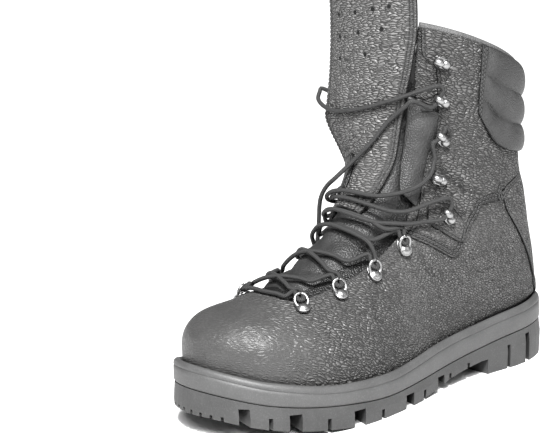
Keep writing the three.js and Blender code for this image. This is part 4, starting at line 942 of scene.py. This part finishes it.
def lay_braid(piece, line, sides):
    """Stores the way along and around the tube for its braid, in turns and millimetres."""
    layer = piece.data.attributes.new("braid", "FLOAT_VECTOR", "CORNER")
    corners = np.zeros((len(piece.data.loops), 3), np.float32)
    index = np.empty(len(piece.data.loops), np.int32)
    piece.data.loops.foreach_get("vertex_index", index)
    ring, place = np.divmod(index, sides)
    ring = np.clip(ring, 0, len(line) - 1)
    corners[:, 0] = lengths_along(line)[ring]
    around = place / sides
    corner_count = (len(line) - 1) * sides * 4
    quads = around[:corner_count].reshape(-1, 4)
    last_strip = quads.max(1, keepdims=True) > 0.6
    around[:corner_count] = np.where(last_strip & (quads == 0), 1.0, quads).ravel()
    corners[:, 1] = around
    layer.data.foreach_set("vector", corners.ravel())


def lace_piece(name, points):
    line = evened(smooth_line(points), LACE_STEP)
    shape, faces = tube(line, LACE / 2, LACE_SIDES)
    piece = mesh_piece(name, shape, faces, CORD)
    lay_braid(piece, line, LACE_SIDES)
    return piece, line


def u_turn(kind, side, up):
    """The lace's turn inside a ring, from its lower strand to its upper one or back."""
    return in_eyelet(kind, side, [(0.5, 0.9 * up, 4.6), (0.5, -0.9 * up, 4.6)])


BAR = (in_ring("ring_1", 1, -1) + over_foot((4.6, 20, 3), (4.34, 0, 2.2), (4.6, -20, 3))
       + in_ring("ring_1", -1, -1)[::-1])
CROSSINGS = [
    ("ring_1", "ring_2", [(5.0, 18, 4), (5.22, 0, 4), (5.5, -22, 4)]),
    ("ring_2", "ring_3", [(5.98, 24, 4), (6.2, 0, 4.2), (6.44, -27, 4)]),
    ("ring_3", "ring_4", [(7.05, 28, 8.5), (7.0, 0, 4.6), (7.2, -28, 5.2)]),
]


def climb(side):
    """One half of the lace from the bar's end at `side` up to the lowest hooks."""
    points = []
    for low, high, rows in CROSSINGS:
        points += u_turn(low, side, -1) + in_ring(low, side, 1)
        points += over_foot(*((v, side * distance, height) for v, distance, height in rows))
        points += in_ring(high, -side, -1)[::-1]
        side = -side
    points += u_turn("ring_4", side, -1) + in_ring("ring_4", side, 1)
    points += over_foot((7.62, side * 30, 8.4), (7.36, 0, 8.4), (7.5, side * -20, 8.8),
                        (7.95, side * -34, 8.4), (8.5, side * -50, 5.6))
    return points + from_hook("hook_1", -side, -1)[::-1]


lace_run, _ = lace_piece("lace_run", climb(1)[::-1] + BAR + climb(-1))
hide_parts("lace_bar", "lace_cross_1", "lace_cross_2", "lace_cross_3")

LONG_END = (
    from_hook("hook_1", 1, 1) + around_hook("hook_1", 1, 1)
    + over_foot((8.75, 44, 9), (8.3, 34, 9.5), (7.98, 22, 9), (7.76, 2, 8.8), (7.9, -15, 10.2),
                (8.5, -32, 14), (9.2, -45, 12))
    + through_hook("hook_2", -1, 1) + through_hook("hook_3", -1, 1)
    + over_tongue((12.1, -1.22, 2), (11.5, -1.16, 4), (11.1, -0.9, 2.8), (10.9, -0.4, 2.4),
                  (11.2, 0.25, 2.4), (11.9, 0.9, 3))
    + around_hook("hook_4", 1, 1)[::-1] + through_hook("hook_4", 1, -1)
    + over_tongue((11.8, 1.15, 4), (10.9, 0.9, 3), (9.8, 0.62, 3), (8.9, 0.35, 4.4))
    + over_foot((8.2, -5, 16.4), (7.8, -17, 17), (7.45, -31, 12), (7.15, -45, 8), (6.85, -55, 4.4),
                (6.35, -58, 2.4), (5.85, -56, 2.2)))
SHORT_END = (
    from_hook("hook_1", -1, 1) + around_hook("hook_1", -1, 1)
    + over_foot((8.6, -46, 9), (8.25, -34, 13.4), (7.96, -20, 14.2), (7.88, -5, 12.4), (8.1, 12, 9.4),
                (8.5, 24, 9.4), (9.0, 35, 10), (9.6, 43, 8), (10.3, 46, 5))
    + through_hook("hook_3", 1, 1) + [foot_point(12.0, 55, 4.6)])
for name, route in (("lace_long_end", LONG_END), ("lace_short_end", SHORT_END)):
    lace_end, end_line = lace_piece(f"{name}_cord", route)
    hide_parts(name)


# The upper: both halves of the last's leather, with the lining inside.
GRAIN_WHOLE_ROW, GRAIN_FADE_ROWS, TOE_POLISH = 5.1, 2.0, 0.8


def upper_half(side):
    opening = THROAT_ROW + THROAT_EASE * np.linspace(0.02, 1, 12) ** 2
    rows = np.concatenate([np.linspace(0, THROAT_ROW, 64), opening,
                           np.linspace(THROAT_ROW + 0.4, COLLAR_ROW, 154)])
    columns = np.concatenate([np.linspace(0, 0.12, 13)[:-1], np.linspace(0.12, 1, 84)])
    v, t = np.meshgrid(rows, columns, indexing="ij")
    start = np.abs(at_length(v, side, facing_gap(v)))
    start = np.where(v > THROAT_ROW, start, 0)
    return v, side * mix(start, 1, t)


def polish_at(v):
    """Where the toe is smooth and bright, and where the grain dies out."""
    return TOE_POLISH * ease((GRAIN_WHOLE_ROW - v) / GRAIN_FADE_ROWS)


def make_upper():
    """The outer skin of both halves, welded where they meet and thickened inwards."""
    skins, faces, stored, total = [], [], [], 0
    for side in (1, -1):
        v, a = upper_half(side)
        points, normals = face(v, a), face_normal(v, a)
        creased = press(points, CREASE_LINES)
        lengths = sheet_lengths(points)
        near = np.clip(1 - lengths["left"] / 1.1, 0, 1) * (v > THROAT_ROW)
        skin = points + normals * (-0.7 * (1 - np.sqrt(1 - near**2)) + creased)[..., None]
        low = low_end(np.minimum(v[:, -1], HEEL_ROW), np.full(len(v), float(side)))
        low[:, 2] = rim_z(low[:, 0]) - RIM_DEPTH + GAP
        tucked = np.where((v[:, -1] <= HEEL_ROW)[:, None], low, skin[:, -1])
        keep = v[:, 0] > THROAT_ROW + 0.2
        for inset in (2.0, 4.2):
            SEWN.append(inset_line(skin[keep], normals[keep], "left", inset))
        skin = np.concatenate([skin, tucked[:, None]], 1)
        faces.append(grid_faces(*skin.shape[:2], start=total, flip=side < 0))
        skins.append(skin.reshape(-1, 3))
        stored.append([np.pad(x, ((0, 0), (0, 1)), mode="edge").ravel()
                       for x in (polish_at(v), np.clip(-creased, 0, 2), np.clip(creased, 0, 2))])
        total += len(skins[-1])
    piece = mesh_piece("leather_upper", np.concatenate(skins), np.concatenate(faces).tolist(),
                       GRAINED, LINING)
    polish, crease, ridge = (np.concatenate([half[k] for half in stored]) for k in range(3))
    keep_values(piece, polish=polish, crease=crease, ridge=ridge)
    weld(piece, closed=False)
    wall = piece.modifiers.new("wall", "SOLIDIFY")
    wall.thickness, wall.offset, wall.material_offset = WALL / 1000, -1, 1
    wall.use_even_offset = False
    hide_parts("upper")


def weld(piece, closed=True):
    """Joins points that meet, within a fiftieth of a millimetre."""
    work = bmesh.new()
    work.from_mesh(piece.data)
    bmesh.ops.remove_doubles(work, verts=work.verts, dist=0.00002)
    if closed:
        bmesh.ops.recalc_face_normals(work, faces=work.faces)
    work.to_mesh(piece.data)
    work.free()


make_upper()


# The backstay, over the heel and up the back.
BACKSTAY = [  # row, half width from the back's middle or the rim, thickness at the middle
    (9.55, 16, 1.3), (10.0, 40, 1.3), (10.4, 54, 1.3), (10.7, 72, 1.4), (11.0, 90, 1.6),
    (11.4, 90, 2.2), (11.8, 80, 3.0), (12.2, 69, 3.6), (12.7, 53, 3.4), (13.2, 37, 2.6),
    (13.6, 27, 1.6), (13.9, 22, 1.3),
]
BACKSTAY_LOW, BACKSTAY_TOP = 9.6, BACKSTAY[-1][0]
UNDER_PAD = 0.85  # way around at which its edges end under the pad
ALL_BELOW = 0.4  # way around for a section that lies wholly below the rim
RIM_CLEARANCE = 1.5


def backstay_edge(v, side, beyond=0.0):
    """The way around of the backstay's side edge."""
    edge_place = np.abs(at_length(v, side, between(BACKSTAY, 1, v) + beyond, True))
    return np.where(v > BACKSTAY_TOP, UNDER_PAD, edge_place)


def lowest_table(side):
    """The way around at which the panels end above the rubber, for each section row."""
    rows = LENGTH_ROWS[:, None]
    a = at_length(rows, side, np.arange(0, 40, 0.5)[None, :], True)
    p = face(rows, a)
    clear = p[..., 2] >= rim_z(p[..., 0]) + RIM_CLEARANCE
    first = np.where(clear.any(1), clear.argmax(1), 0)
    found = np.abs(a[np.arange(len(rows)), first])
    return LENGTH_ROWS, np.where(clear.any(1), found, ALL_BELOW)


LOWEST = {side: lowest_table(side) for side in (1, -1)}


def lowest(v, side):
    """The way around at which a panel ends, just above the rubber."""
    return np.interp(v, *LOWEST[side])


def both_sides(make):
    """Places of a grid that runs from the outer side's edge round the back to the inner side's."""
    def place(s, t):
        outer_v, outer_a = make(s, np.clip(2 * t, 0, 1), 1)
        inner_v, inner_a = make(s, np.clip(2 - 2 * t, 0, 1), -1)
        first = t <= 0.5
        return np.where(first, outer_v, inner_v), np.where(first, outer_a, inner_a)
    return place


def backstay_place(s, t, side):
    v = mix(BACKSTAY_LOW, BACKSTAY_TOP, s)
    return v, side * mix(backstay_edge(v, side), lowest(v, side), t)


def backstay_swell(v, a, s, t):
    inward = np.abs(2 * np.minimum(t, 1 - t))
    return (between(BACKSTAY, 2, v) - OVERLAY) * ease(inward / 0.35)


backstay = panel("heel_backstay", edged(150, 2.0), edged(140, 1.8), both_sides(backstay_place),
                     GAP, OVERLAY, GRAINED, swell=backstay_swell,
                     sewn=(("left", 2.0), ("right", 2.0), ("end", 2.0), ("left", 4.3), ("right", 4.3)))
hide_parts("backstay")

# The quarters, the shaft's second layer of leather.
QUARTER_FRONT = [
    (8.00, 45), (8.50, 47), (9.00, 43), (9.50, 40), (10.2, 40.5), (11.1, 44.5), (12.3, 46),
    (13.2, 44.5), (14.4, 42), (14.75, 32), (16.0, 31.5),
]
QUARTER_SEAM = [  # row and way around of its low seam, with the pointed pocket under the ankle
    (7.98, 0.285), (8.04, 0.304), (8.15, 0.338), (8.34, 0.394), (8.47, 0.440), (8.54, 0.466),
    (8.62, 0.478), (8.72, 0.481), (8.90, 0.474), (9.14, 0.461), (9.45, 0.449), (9.95, 0.455),
    (10.5, 0.494), (10.89, 0.533), (11.18, 0.567), (11.5, 0.63), (11.8, 0.74), (12.0, 0.9),
]
SEAM_CLEARANCE = 1
QUARTER_ROWS = np.concatenate([np.arange(7.98, 9.1, 0.028), np.arange(9.1, 12, 0.05),
                               np.linspace(12, COLLAR_ROW, 40)])


def quarter_edge(v, side):
    """Its rear edge: the low seam, then the backstay."""
    return np.minimum(between(QUARTER_SEAM, 1, v), backstay_edge(v, side, SEAM_CLEARANCE))


def quarter_place(side):
    def place(s, t):
        v = np.interp(s, np.linspace(0, 1, len(QUARTER_ROWS)), QUARTER_ROWS)
        front = np.abs(at_length(v, side, between(QUARTER_FRONT, 1, v)))
        rear = quarter_edge(v, side)
        return v, side * mix(np.minimum(front, rear - 0.004), rear, t)
    return place


def low_seam(side):
    """Fine points and normals along the quarter's low seam."""
    v = np.arange(7.99, 11.75, 0.02)
    a = side * quarter_edge(v, side)
    return off_face(v, a, GAP + OVERLAY), face_normal(v, a)


for side in (1, -1):
    rows = np.linspace(0, 1, len(QUARTER_ROWS))
    quarter = panel(f"{SIDE_NAMES[side]}_quarter", rows, edged(130, 1.3, band=6),
                        quarter_place(side), GAP, OVERLAY, GRAINED, outline=low_seam(side),
                        outline_sewn=(2.0, 4.6), cut=("left",), sewn=(("left", 2.2),))
    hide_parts(f"quarter_{SIDE_NAMES[side]}")

# The collar pad, three soft rolls around the back of the shaft.
PAD_EDGE = [(0.495, 13.6), (0.520, 13.32), (0.560, 13.02), (0.620, 13.15), (0.700, 13.5),
            (0.800, 13.85), (1.000, 14.15)]
PAD_START, PAD_ROLL, PAD_ROLLS = 0.495, 3.4, 3
PAD_LIFT = 3 * GAP + OVERLAY


def pad_place(s, t, side):
    around = mix(PAD_START, 1, t)
    return mix(between(PAD_EDGE, 1, around), COLLAR_ROW, s), side * around


def pad_swell(v, a, s, t):
    """Three rolls, drawn in at the pad's two ends."""
    inward = mix(PAD_START, 1, np.clip(2 * np.minimum(t, 1 - t), 0, 1))
    roll = np.abs(np.sin(math.pi * PAD_ROLLS * s)) ** 0.5
    return PAD_ROLL * roll * ease((inward - PAD_START) / 0.06)


collar_pad = panel("collar_pad_rolls", edged(56, 0.7), edged(220, 1.4), both_sides(pad_place),
                       PAD_LIFT, 1.0, SOFT, swell=pad_swell, lines=[],
                       sewn=(("left", 2.0), ("right", 2.0), ("left", 4.2), ("right", 4.2)))
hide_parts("collar_pad")

# The ankle tabs under the lowest hooks.
TAB = [
    (0.0, 8.60, 55, 8.98, 49), (0.3, 8.70, 66, 9.22, 57), (0.6, 8.79, 77, 9.36, 67),
    (0.85, 8.88, 86, 9.33, 78), (1.0, 8.95, 89, 9.20, 85),
]
for side in (1, -1):
    def tab_place(s, t, side=side):
        v = mix(between(TAB, 1, t), between(TAB, 3, t), s)
        return v, at_length(v, side, mix(between(TAB, 2, t), between(TAB, 4, t), s))
    tab = panel(f"{SIDE_NAMES[side]}_ankle_leaf", edged(16, 0.8, band=3),
                    edged(40, 0.9, band=3), tab_place, 3 * GAP + OVERLAY, OVERLAY, GRAINED,
                    sewn=(("start", 2.0), ("end", 2.0), ("right", 2.0)))
    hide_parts(f"ankle_tab_{SIDE_NAMES[side]}")

# The folds of soft leather on each side of the tongue.
FOLD = [
    (8.70, 28, 43.0, 1.5), (9.05, 24, 42.0, 3.0), (9.50, 22, 40.8, 3.8), (10.2, 22, 41.5, 4.8),
    (11.1, 22, 45.0, 5.0), (12.0, 22, 46.5, 4.2), (12.5, 22, 46.5, 2.0),
]
for side in (1, -1):
    def fold_place(s, t, side=side):
        v = mix(FOLD[0][0], FOLD[-1][0], s)
        return v, at_length(v, side, mix(between(FOLD, 1, v), between(FOLD, 2, v), t))

    def fold_swell(v, a, s, t):
        rounded = np.sin(math.pi * mix(0.12, 1, t)) ** 0.7
        return between(FOLD, 3, v) * np.clip(rounded, 0, 1)
    fold = panel(f"{SIDE_NAMES[side]}_soft_fold", np.linspace(0, 1, 90), np.linspace(0, 1, 30),
                     fold_place, GAP, GUSSET_THICKNESS, SOFT, swell=fold_swell, cut=())
    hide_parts(f"fold_{SIDE_NAMES[side]}")

# The gusset behind the throat.
GUSSET_TUCK, GUSSET_UNDER = 9, -(WALL + 2.2)
GUSSET_START, GUSSET_END = THROAT_ROW - 0.35, 13.2


def gusset_place(s, t):
    v = mix(GUSSET_START, GUSSET_END, s)
    spread = 2 * t - 1
    return v, at_length(v, np.where(spread < 0, -1, 1), np.abs(spread) * (facing_gap(v) + GUSSET_TUCK))


def gusset_swell(v, a, s, t):
    """Pleats behind the laces, and edges that sink under the facings."""
    stand = mix(GUSSET_UNDER, mix(-1.5, 2, ease((v - 5) / 5)), ease((v - THROAT_ROW - 0.1) / 0.7))
    reach = facing_gap(v) + GUSSET_TUCK
    edge_share = np.maximum(facing_gap(v) / reach, 0.3)
    around = np.abs(2 * t - 1)
    pleat = np.abs(np.sin(math.pi * (v - 4.75 - 0.45 * around))) ** 0.6 - 0.5
    stand = stand + 2.6 * pleat * ease(around / 0.35) * (1 - ease((v - 8.2) / 0.6))
    return mix(stand, GUSSET_UNDER, ease((np.abs(2 * t - 1) / edge_share - 0.45) / 0.5))


gusset = panel("folded_gusset", np.linspace(0, 1, 160), np.linspace(0, 1, 80), gusset_place,
                   -GUSSET_THICKNESS, GUSSET_THICKNESS, SOFT, swell=gusset_swell, cut=(), lines=[])
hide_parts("gusset")


# The tongue and the lace keeper on it.
def tongue_place(s, t):
    return mix(TONGUE_BASE, TONGUE_END, s), 2 * t - 1


TONGUE_SURFACE = (tongue_point, tongue_normal)
tongue = panel(
    "long_tongue", edged(190, 1.3), edged(78, 1.1), tongue_place, 0, TONGUE_THICKNESS,
    TONGUE_LEATHER, surface=TONGUE_SURFACE, lines=[], edge_radius=2.4,
    sewn=(("left", 2.4), ("right", 2.4), ("right", 4.8), ("left", 4.8), ("end", 3.0)))
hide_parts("tongue")

KEEPER_LOW, KEEPER_HIGH, KEEPER_HALF, KEEPER_SIDE = 8.1, 9.3, 0.38, 0.12


def keeper_place(s, t):
    arch = np.sqrt(1 - 0.8 * np.clip((s - 0.6) / 0.4, 0, 1) ** 2)
    return mix(KEEPER_LOW, KEEPER_HIGH, s), (2 * t - 1) * KEEPER_HALF * arch - KEEPER_SIDE


keeper = panel("arched_lace_keeper", edged(40, 0.9, band=3), edged(26, 0.9, band=3), keeper_place,
                   TONGUE_THICKNESS + 3 * GAP, OVERLAY, SOFT, surface=TONGUE_SURFACE, lines=[],
                   sewn=(("left", 1.8), ("right", 1.8), ("end", 1.8)))
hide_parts("lace_keeper")

# The rolled piping along the collar.
PIPING_RADIUS, PIPING_RISE = 2.3, 0.8


def collar_line():
    shares = []
    for side in (1, -1):
        front = abs(float(at_length(COLLAR_ROW, side, facing_gap(COLLAR_ROW))))
        around = side * np.linspace(front + 0.004, 1, 90)
        shares.append(around if side > 0 else around[::-1][1:])
    around = np.concatenate(shares)
    return off_face(COLLAR_ROW, around, -0.6 * WALL + 0 * around)


piping_points, piping_faces = tube(collar_line() + UP * PIPING_RISE, PIPING_RADIUS, 16)
piping = mesh_piece("collar_piping", piping_points, piping_faces, PIPING)


# The sole. Rings around the outline are stacked and capped across, as in the part's source.
SIDE_STEPS = 110


def ring(inset, height):
    """Points around the sole's outline, moved in, at a height that follows the place along."""
    t = np.arange(SIDE_STEPS + 1) / SIDE_STEPS
    shares = mix(t, 0.5 - 0.5 * np.cos(math.pi * t), 0.45)
    plan = np.concatenate([edge(1, shares, inset), edge(-1, shares[1:-1][::-1], inset)])
    return np.concatenate([plan, height(plan[:, 0])[:, None]], 1)


def stack(rings):
    """A closed form through rings, with quads across its bottom and top."""
    count = len(rings[0])
    faces = grid_faces(len(rings), count, wrap=True).tolist()
    for start, up in ((0, False), ((len(rings) - 1) * count, True)):
        for k in range(SIDE_STEPS):
            a, b = start + k, start + k + 1
            c, d = start + (count - k) % count, start + (count - k - 1) % count
            quad = [a, b, d, c] if up else [a, c, d, b]
            kept = list(dict.fromkeys(quad))
            if len(kept) > 2:
                faces.append(kept)
    return np.concatenate(rings), faces


def make_midsole():
    profile = [
        (1.1, lambda x: seam_z(x) + GAP), (0.35, lambda x: seam_z(x) + GAP + 0.5),
        (0.0, lambda x: seam_z(x) + GAP + 1.6), (0.0, lambda x: mix(seam_z(x), rim_z(x), 0.5)),
        (0.1, lambda x: rim_z(x) - 5.4), (0.55, lambda x: rim_z(x) - 5.0), (0.55, lambda x: rim_z(x) - 4.7),
        (0.1, lambda x: rim_z(x) - 4.3), (0.25, lambda x: rim_z(x) - 3.2), (0.8, lambda x: rim_z(x) - 1.6),
        (1.9, lambda x: rim_z(x) - 0.45), (3.0, lambda x: rim_z(x) + 0.0), (4.0, lambda x: rim_z(x) - 0.15),
        (4.8, lambda x: rim_z(x) - 0.8), (RIM_LIP, lambda x: rim_z(x) - 1.8),
        (RIM_LIP, lambda x: rim_z(x) - RIM_DEPTH),
    ]
    points, faces = stack([ring(inset, height) for inset, height in profile])
    piece = mesh_piece("rubber_rim", points, faces, RIM_RUBBER)
    weld(piece)
    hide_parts("midsole")


make_midsole()

for carried, material in (("outsole", TREAD_RUBBER), ("insole", INSOLE_CLOTH)):
    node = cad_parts[carried]
    for slot in node.material_slots:
        slot.material = material


# Steel: hooks and rings, made flat with x towards the throat, y along the facing and z out.
def end_capped(faces, count):
    """The faces of rings of `count` points, with a cap on the first ring and the last."""
    top = int(faces.max()) + 1 - count
    return faces.tolist() + [list(range(count))[::-1], [top + k for k in range(count)]]


def lathe(profile, place, segments=24):
    """A turned form about a standing axis, from rows of radius and height."""
    turn = np.linspace(0, 2 * math.pi, segments, endpoint=False)
    x, y, base = place
    rows = [np.stack([x + r * np.cos(turn), y + r * np.sin(turn), 0 * turn + base + z], 1)
            for r, z in profile]
    return np.concatenate(rows), end_capped(grid_faces(len(profile), segments, wrap=True), segments)


def oval_plate(length, width, thick, segments=14):
    reach = (length - width) / 2
    turn = np.linspace(-math.pi / 2, math.pi / 2, segments)
    loops = []
    for inset, z in ((0.15, 0), (0, 0.15), (0, thick * 0.6), (0.25, thick * 0.9), (0.7, thick)):
        r = width / 2 - inset
        right = np.stack([reach + r * np.cos(turn), r * np.sin(turn)], 1)
        left = np.stack([-reach - r * np.cos(turn), -r * np.sin(turn)], 1)
        plan = np.concatenate([right, left])
        loops.append(np.concatenate([plan, np.full((len(plan), 1), z)], 1))
    count = len(loops[0])
    return np.concatenate(loops), end_capped(grid_faces(len(loops), count, wrap=True), count)


def bent_strip(path, widths, thick, bow, sides=16):
    """A strap of metal along a path in the x-z plane, its edges raised by `bow`."""
    path = np.array(path, float)
    t = np.linspace(0, len(path) - 1, 36)
    x, z, w = through(path[:, 0], t), through(path[:, 1], t), through(widths, t)
    run = unit(np.stack([np.gradient(x), 0 * x, np.gradient(z)], 1))
    out = np.stack([-run[:, 2], 0 * x, run[:, 0]], 1)
    turn = np.linspace(0, 2 * math.pi, sides, endpoint=False)
    across = np.sign(np.cos(turn)) * np.abs(np.cos(turn)) ** 0.7
    through_it = np.sign(np.sin(turn)) * np.abs(np.sin(turn)) ** 0.7
    points = []
    for k in range(len(t)):
        thin = thick / 2 * min(1, 0.25 + w[k] / 4)
        rise = through_it * thin + bow[min(int(t[k]), len(bow) - 1)] * (across * w[k] / 7) ** 2
        points.append(np.array([x[k], 0, z[k]]) + across[:, None] * np.array([0, w[k] / 2, 0])
                      + rise[:, None] * out[k])
    return np.concatenate(points), end_capped(grid_faces(len(t), sides, wrap=True), sides)


def gather(forms):
    """Many small forms as the points and faces of one."""
    points, faces, total = [], [], 0
    for shape, quads in forms:
        points.append(shape)
        faces += [[k + total for k in f] for f in quads]
        total += len(shape)
    return np.concatenate(points), faces


HOOK_PATH = [(-0.5, 0.9), (3.2, 0.9), (5.0, 1.3), (6.3, 3.0), (6.2, 4.9), (4.9, 6.3), (3.0, 6.9),
             (1.4, 6.4), (0.6, 5.5)]
HOOK_WIDTHS = [5.6, 5.8, 5.2, 4.2, 4.0, 5.4, 6.4, 5.8, 4.2]
HOOK_BOW = [0, 0, 0, 0.8, 2.4, 3.2, 3.2, 3.0, 2.6]


def hook_form():
    """A pointed, domed hook bent back over its plate, and the rivet that holds it."""
    dome = [(3.3, 0.5), (3.3, 1.3), (3.15, 2.2), (2.7, 3.1), (1.9, 3.8), (0.9, 4.2), (0.2, 4.25)]
    return gather([oval_plate(11.4, 7.4, 1), lathe(dome, (-2.3, 0, 0)),
                   bent_strip(HOOK_PATH, HOOK_WIDTHS, 1.3, HOOK_BOW)])


RING = {"length": 11.4, "width": 10.6, "wire": 1.1, "tilt": 0.5, "base": -3.9}


def ring_form():
    """A D-shaped wire loop standing off its plate, under a wide flat rivet."""
    turn = np.linspace(0, 2 * math.pi, 48, endpoint=False)
    reach, half = RING["length"] / 2 - RING["wire"], RING["width"] / 2 - RING["wire"]
    x = RING["length"] / 2 + reach * np.sign(np.cos(turn)) * np.abs(np.cos(turn)) ** 0.95
    y = half * np.sign(np.sin(turn)) * np.abs(np.sin(turn)) ** 0.9
    loop = np.stack([RING["base"] + x * math.cos(RING["tilt"]), y,
                     0.9 + x * math.sin(RING["tilt"])], 1)
    dome = [(4.6, 0.3), (4.6, 1.5), (4.4, 2.0), (3.9, 2.2), (3.6, 2.0), (3.3, 2.2), (2.8, 2.7),
            (1.8, 3.1), (0.8, 3.25), (0.2, 3.25)]
    return gather([oval_plate(10.4, 9.0, 1), lathe(dome, (-3.4, 0, 0.6)),
                   tube(loop, RING["wire"], 12, closed=True)])


def place_hardware(name, kinds, form):
    """One piece of steel for all eyelets of a kind, on both sides."""
    forms, nodes = [], []
    shape, faces = form
    for kind in kinds:
        for side in (1, -1):
            axes, origin = EYELET_AT[kind, side]
            forms.append((shape @ axes + origin, faces))
            nodes.append(f"{kind}_{SIDE_NAMES[side]}")
    points, quads = gather(forms)
    piece = mesh_piece(name, points, quads, STEEL)
    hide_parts(*nodes)


place_hardware("open_lace_hooks", [f"hook_{k}" for k in range(1, 6)], hook_form())
place_hardware("d_rings", [f"ring_{k}" for k in range(1, 5)], ring_form())


# Stitching: every sewn line as short raised threads, joined in one mesh.
def stitch_mesh(pitch=3.0, long=1.15, wide=0.42, high=0.34, lift=0.12, sides=6):
    turn = np.linspace(0, 2 * math.pi, sides, endpoint=False)
    stations = [(-1.0, 0.25), (-0.7, 0.85), (0.0, 1.0), (0.7, 0.85), (1.0, 0.25)]
    unit_points = np.concatenate([np.stack([np.full(sides, x * long), r * wide * np.cos(turn),
                                            r * high * np.sin(turn)], 1) for x, r in stations])
    unit_faces = end_capped(grid_faces(len(stations), sides, wrap=True), sides)
    forms = []
    for line, normals in SEWN:
        lengths = lengths_along(line)
        places = np.arange(pitch, lengths[-1] - pitch / 2, pitch)
        if not len(places):
            continue
        at = at_lengths(places, lengths, line)
        run = unit(at_lengths(places + 0.5, lengths, line) - at)
        out = unit(at_lengths(places, lengths, normals))
        out = unit(out - run * (out * run).sum(1)[:, None])
        side = np.cross(out, run)
        for axes, centre in zip(np.stack([run, side, out], 1), at + out * lift):
            forms.append((unit_points @ axes + centre, unit_faces))
    return gather(forms)


stitch_points, stitch_faces = stitch_mesh()
stitching = mesh_piece("seam_stitching", stitch_points, stitch_faces, THREAD)


# Nine punched holes in the tongue, drawn as thin dark discs: painted shade where the holes are.
PINHOLES = [
    (16.46, -0.57), (16.62, -0.10), (16.78, 0.28), (16.92, 0.58), (15.26, -0.54), (15.54, -0.02),
    (15.74, 0.45), (13.96, -0.52), (14.28, 0.15),
]
CUP = [(1.5, 0), (1.35, 0.12), (1.05, 0.1), (0.7, 0.03), (0.1, 0.02)]
hole_forms = []
for row, spread in PINHOLES:
    normal = tongue_normal(row, spread)
    centre = tongue_point(row, spread) + normal * (TONGUE_THICKNESS + 0.02)
    side = unit(np.cross(normal, UP))
    cup, cup_faces = lathe(CUP, (0, 0, 0), 14)
    hole_forms.append((cup @ np.array([side, np.cross(normal, side), normal]) + centre, cup_faces))
hole_points, hole_faces = gather(hole_forms)
holes = mesh_piece("tongue_pinholes", hole_points, hole_faces, HOLE_SHADE)


# Floor and light.
def stage():
    floor_mesh = bpy.data.meshes.new("floor")
    reach = 30
    corners = [(-reach, -reach, 0), (reach, -reach, 0), (reach, reach, 0), (-reach, reach, 0)]
    floor_mesh.from_pydata(corners, [], [(0, 1, 2, 3)])
    floor = bpy.data.objects.new("floor", floor_mesh)
    bpy.context.scene.collection.objects.link(floor)
    paint = Finish("pale_floor")
    floor_mesh.materials.append(paint.surface(Base_Color=grey(0.86), Roughness=0.9))
    world = bpy.data.worlds.new("studio")
    world.use_nodes = True
    air = world.node_tree.nodes["Background"]
    air.inputs["Color"].default_value, air.inputs["Strength"].default_value = grey(1), 0.2
    bpy.context.scene.world = world
    bpy.context.scene.view_settings.view_transform = "Standard"
    bpy.context.scene.view_settings.look = "Medium High Contrast"


def sun(name, towards, strength, spread):
    """Even light from far away: `towards` points at it, `spread` is its width in degrees."""
    lamp = bpy.data.lights.new(name, "SUN")
    lamp.energy, lamp.angle = strength, math.radians(spread)
    lit = bpy.data.objects.new(name, lamp)
    back = unit(np.array(towards, float))
    right = unit(np.cross(UP, back))
    lit.matrix_world = standing(right, np.cross(back, right), back, (0, 0, 1))
    bpy.context.scene.collection.objects.link(lit)


def softbox(name, place, target, size, power):
    lamp = bpy.data.lights.new(name, "AREA")
    lamp.shape, lamp.size, lamp.size_y, lamp.energy = "RECTANGLE", size[0], size[1], power
    lit = bpy.data.objects.new(name, lamp)
    back = unit(np.array(place) - np.array(target))
    right = unit(np.cross(UP, back))
    lit.matrix_world = standing(right, np.cross(back, right), back, place)
    bpy.context.scene.collection.objects.link(lit)


stage()
sun("key", (0.42, 0.46, 0.85), 4.3, 8)
softbox("front", (0.75, 0.7, 0.95), (0.02, 0, 0.1), (1.0, 0.35), 19)
softbox("heel_side", (-0.6, 1.1, 0.7), (-0.05, 0, 0.12), (0.5, 0.8), 2)
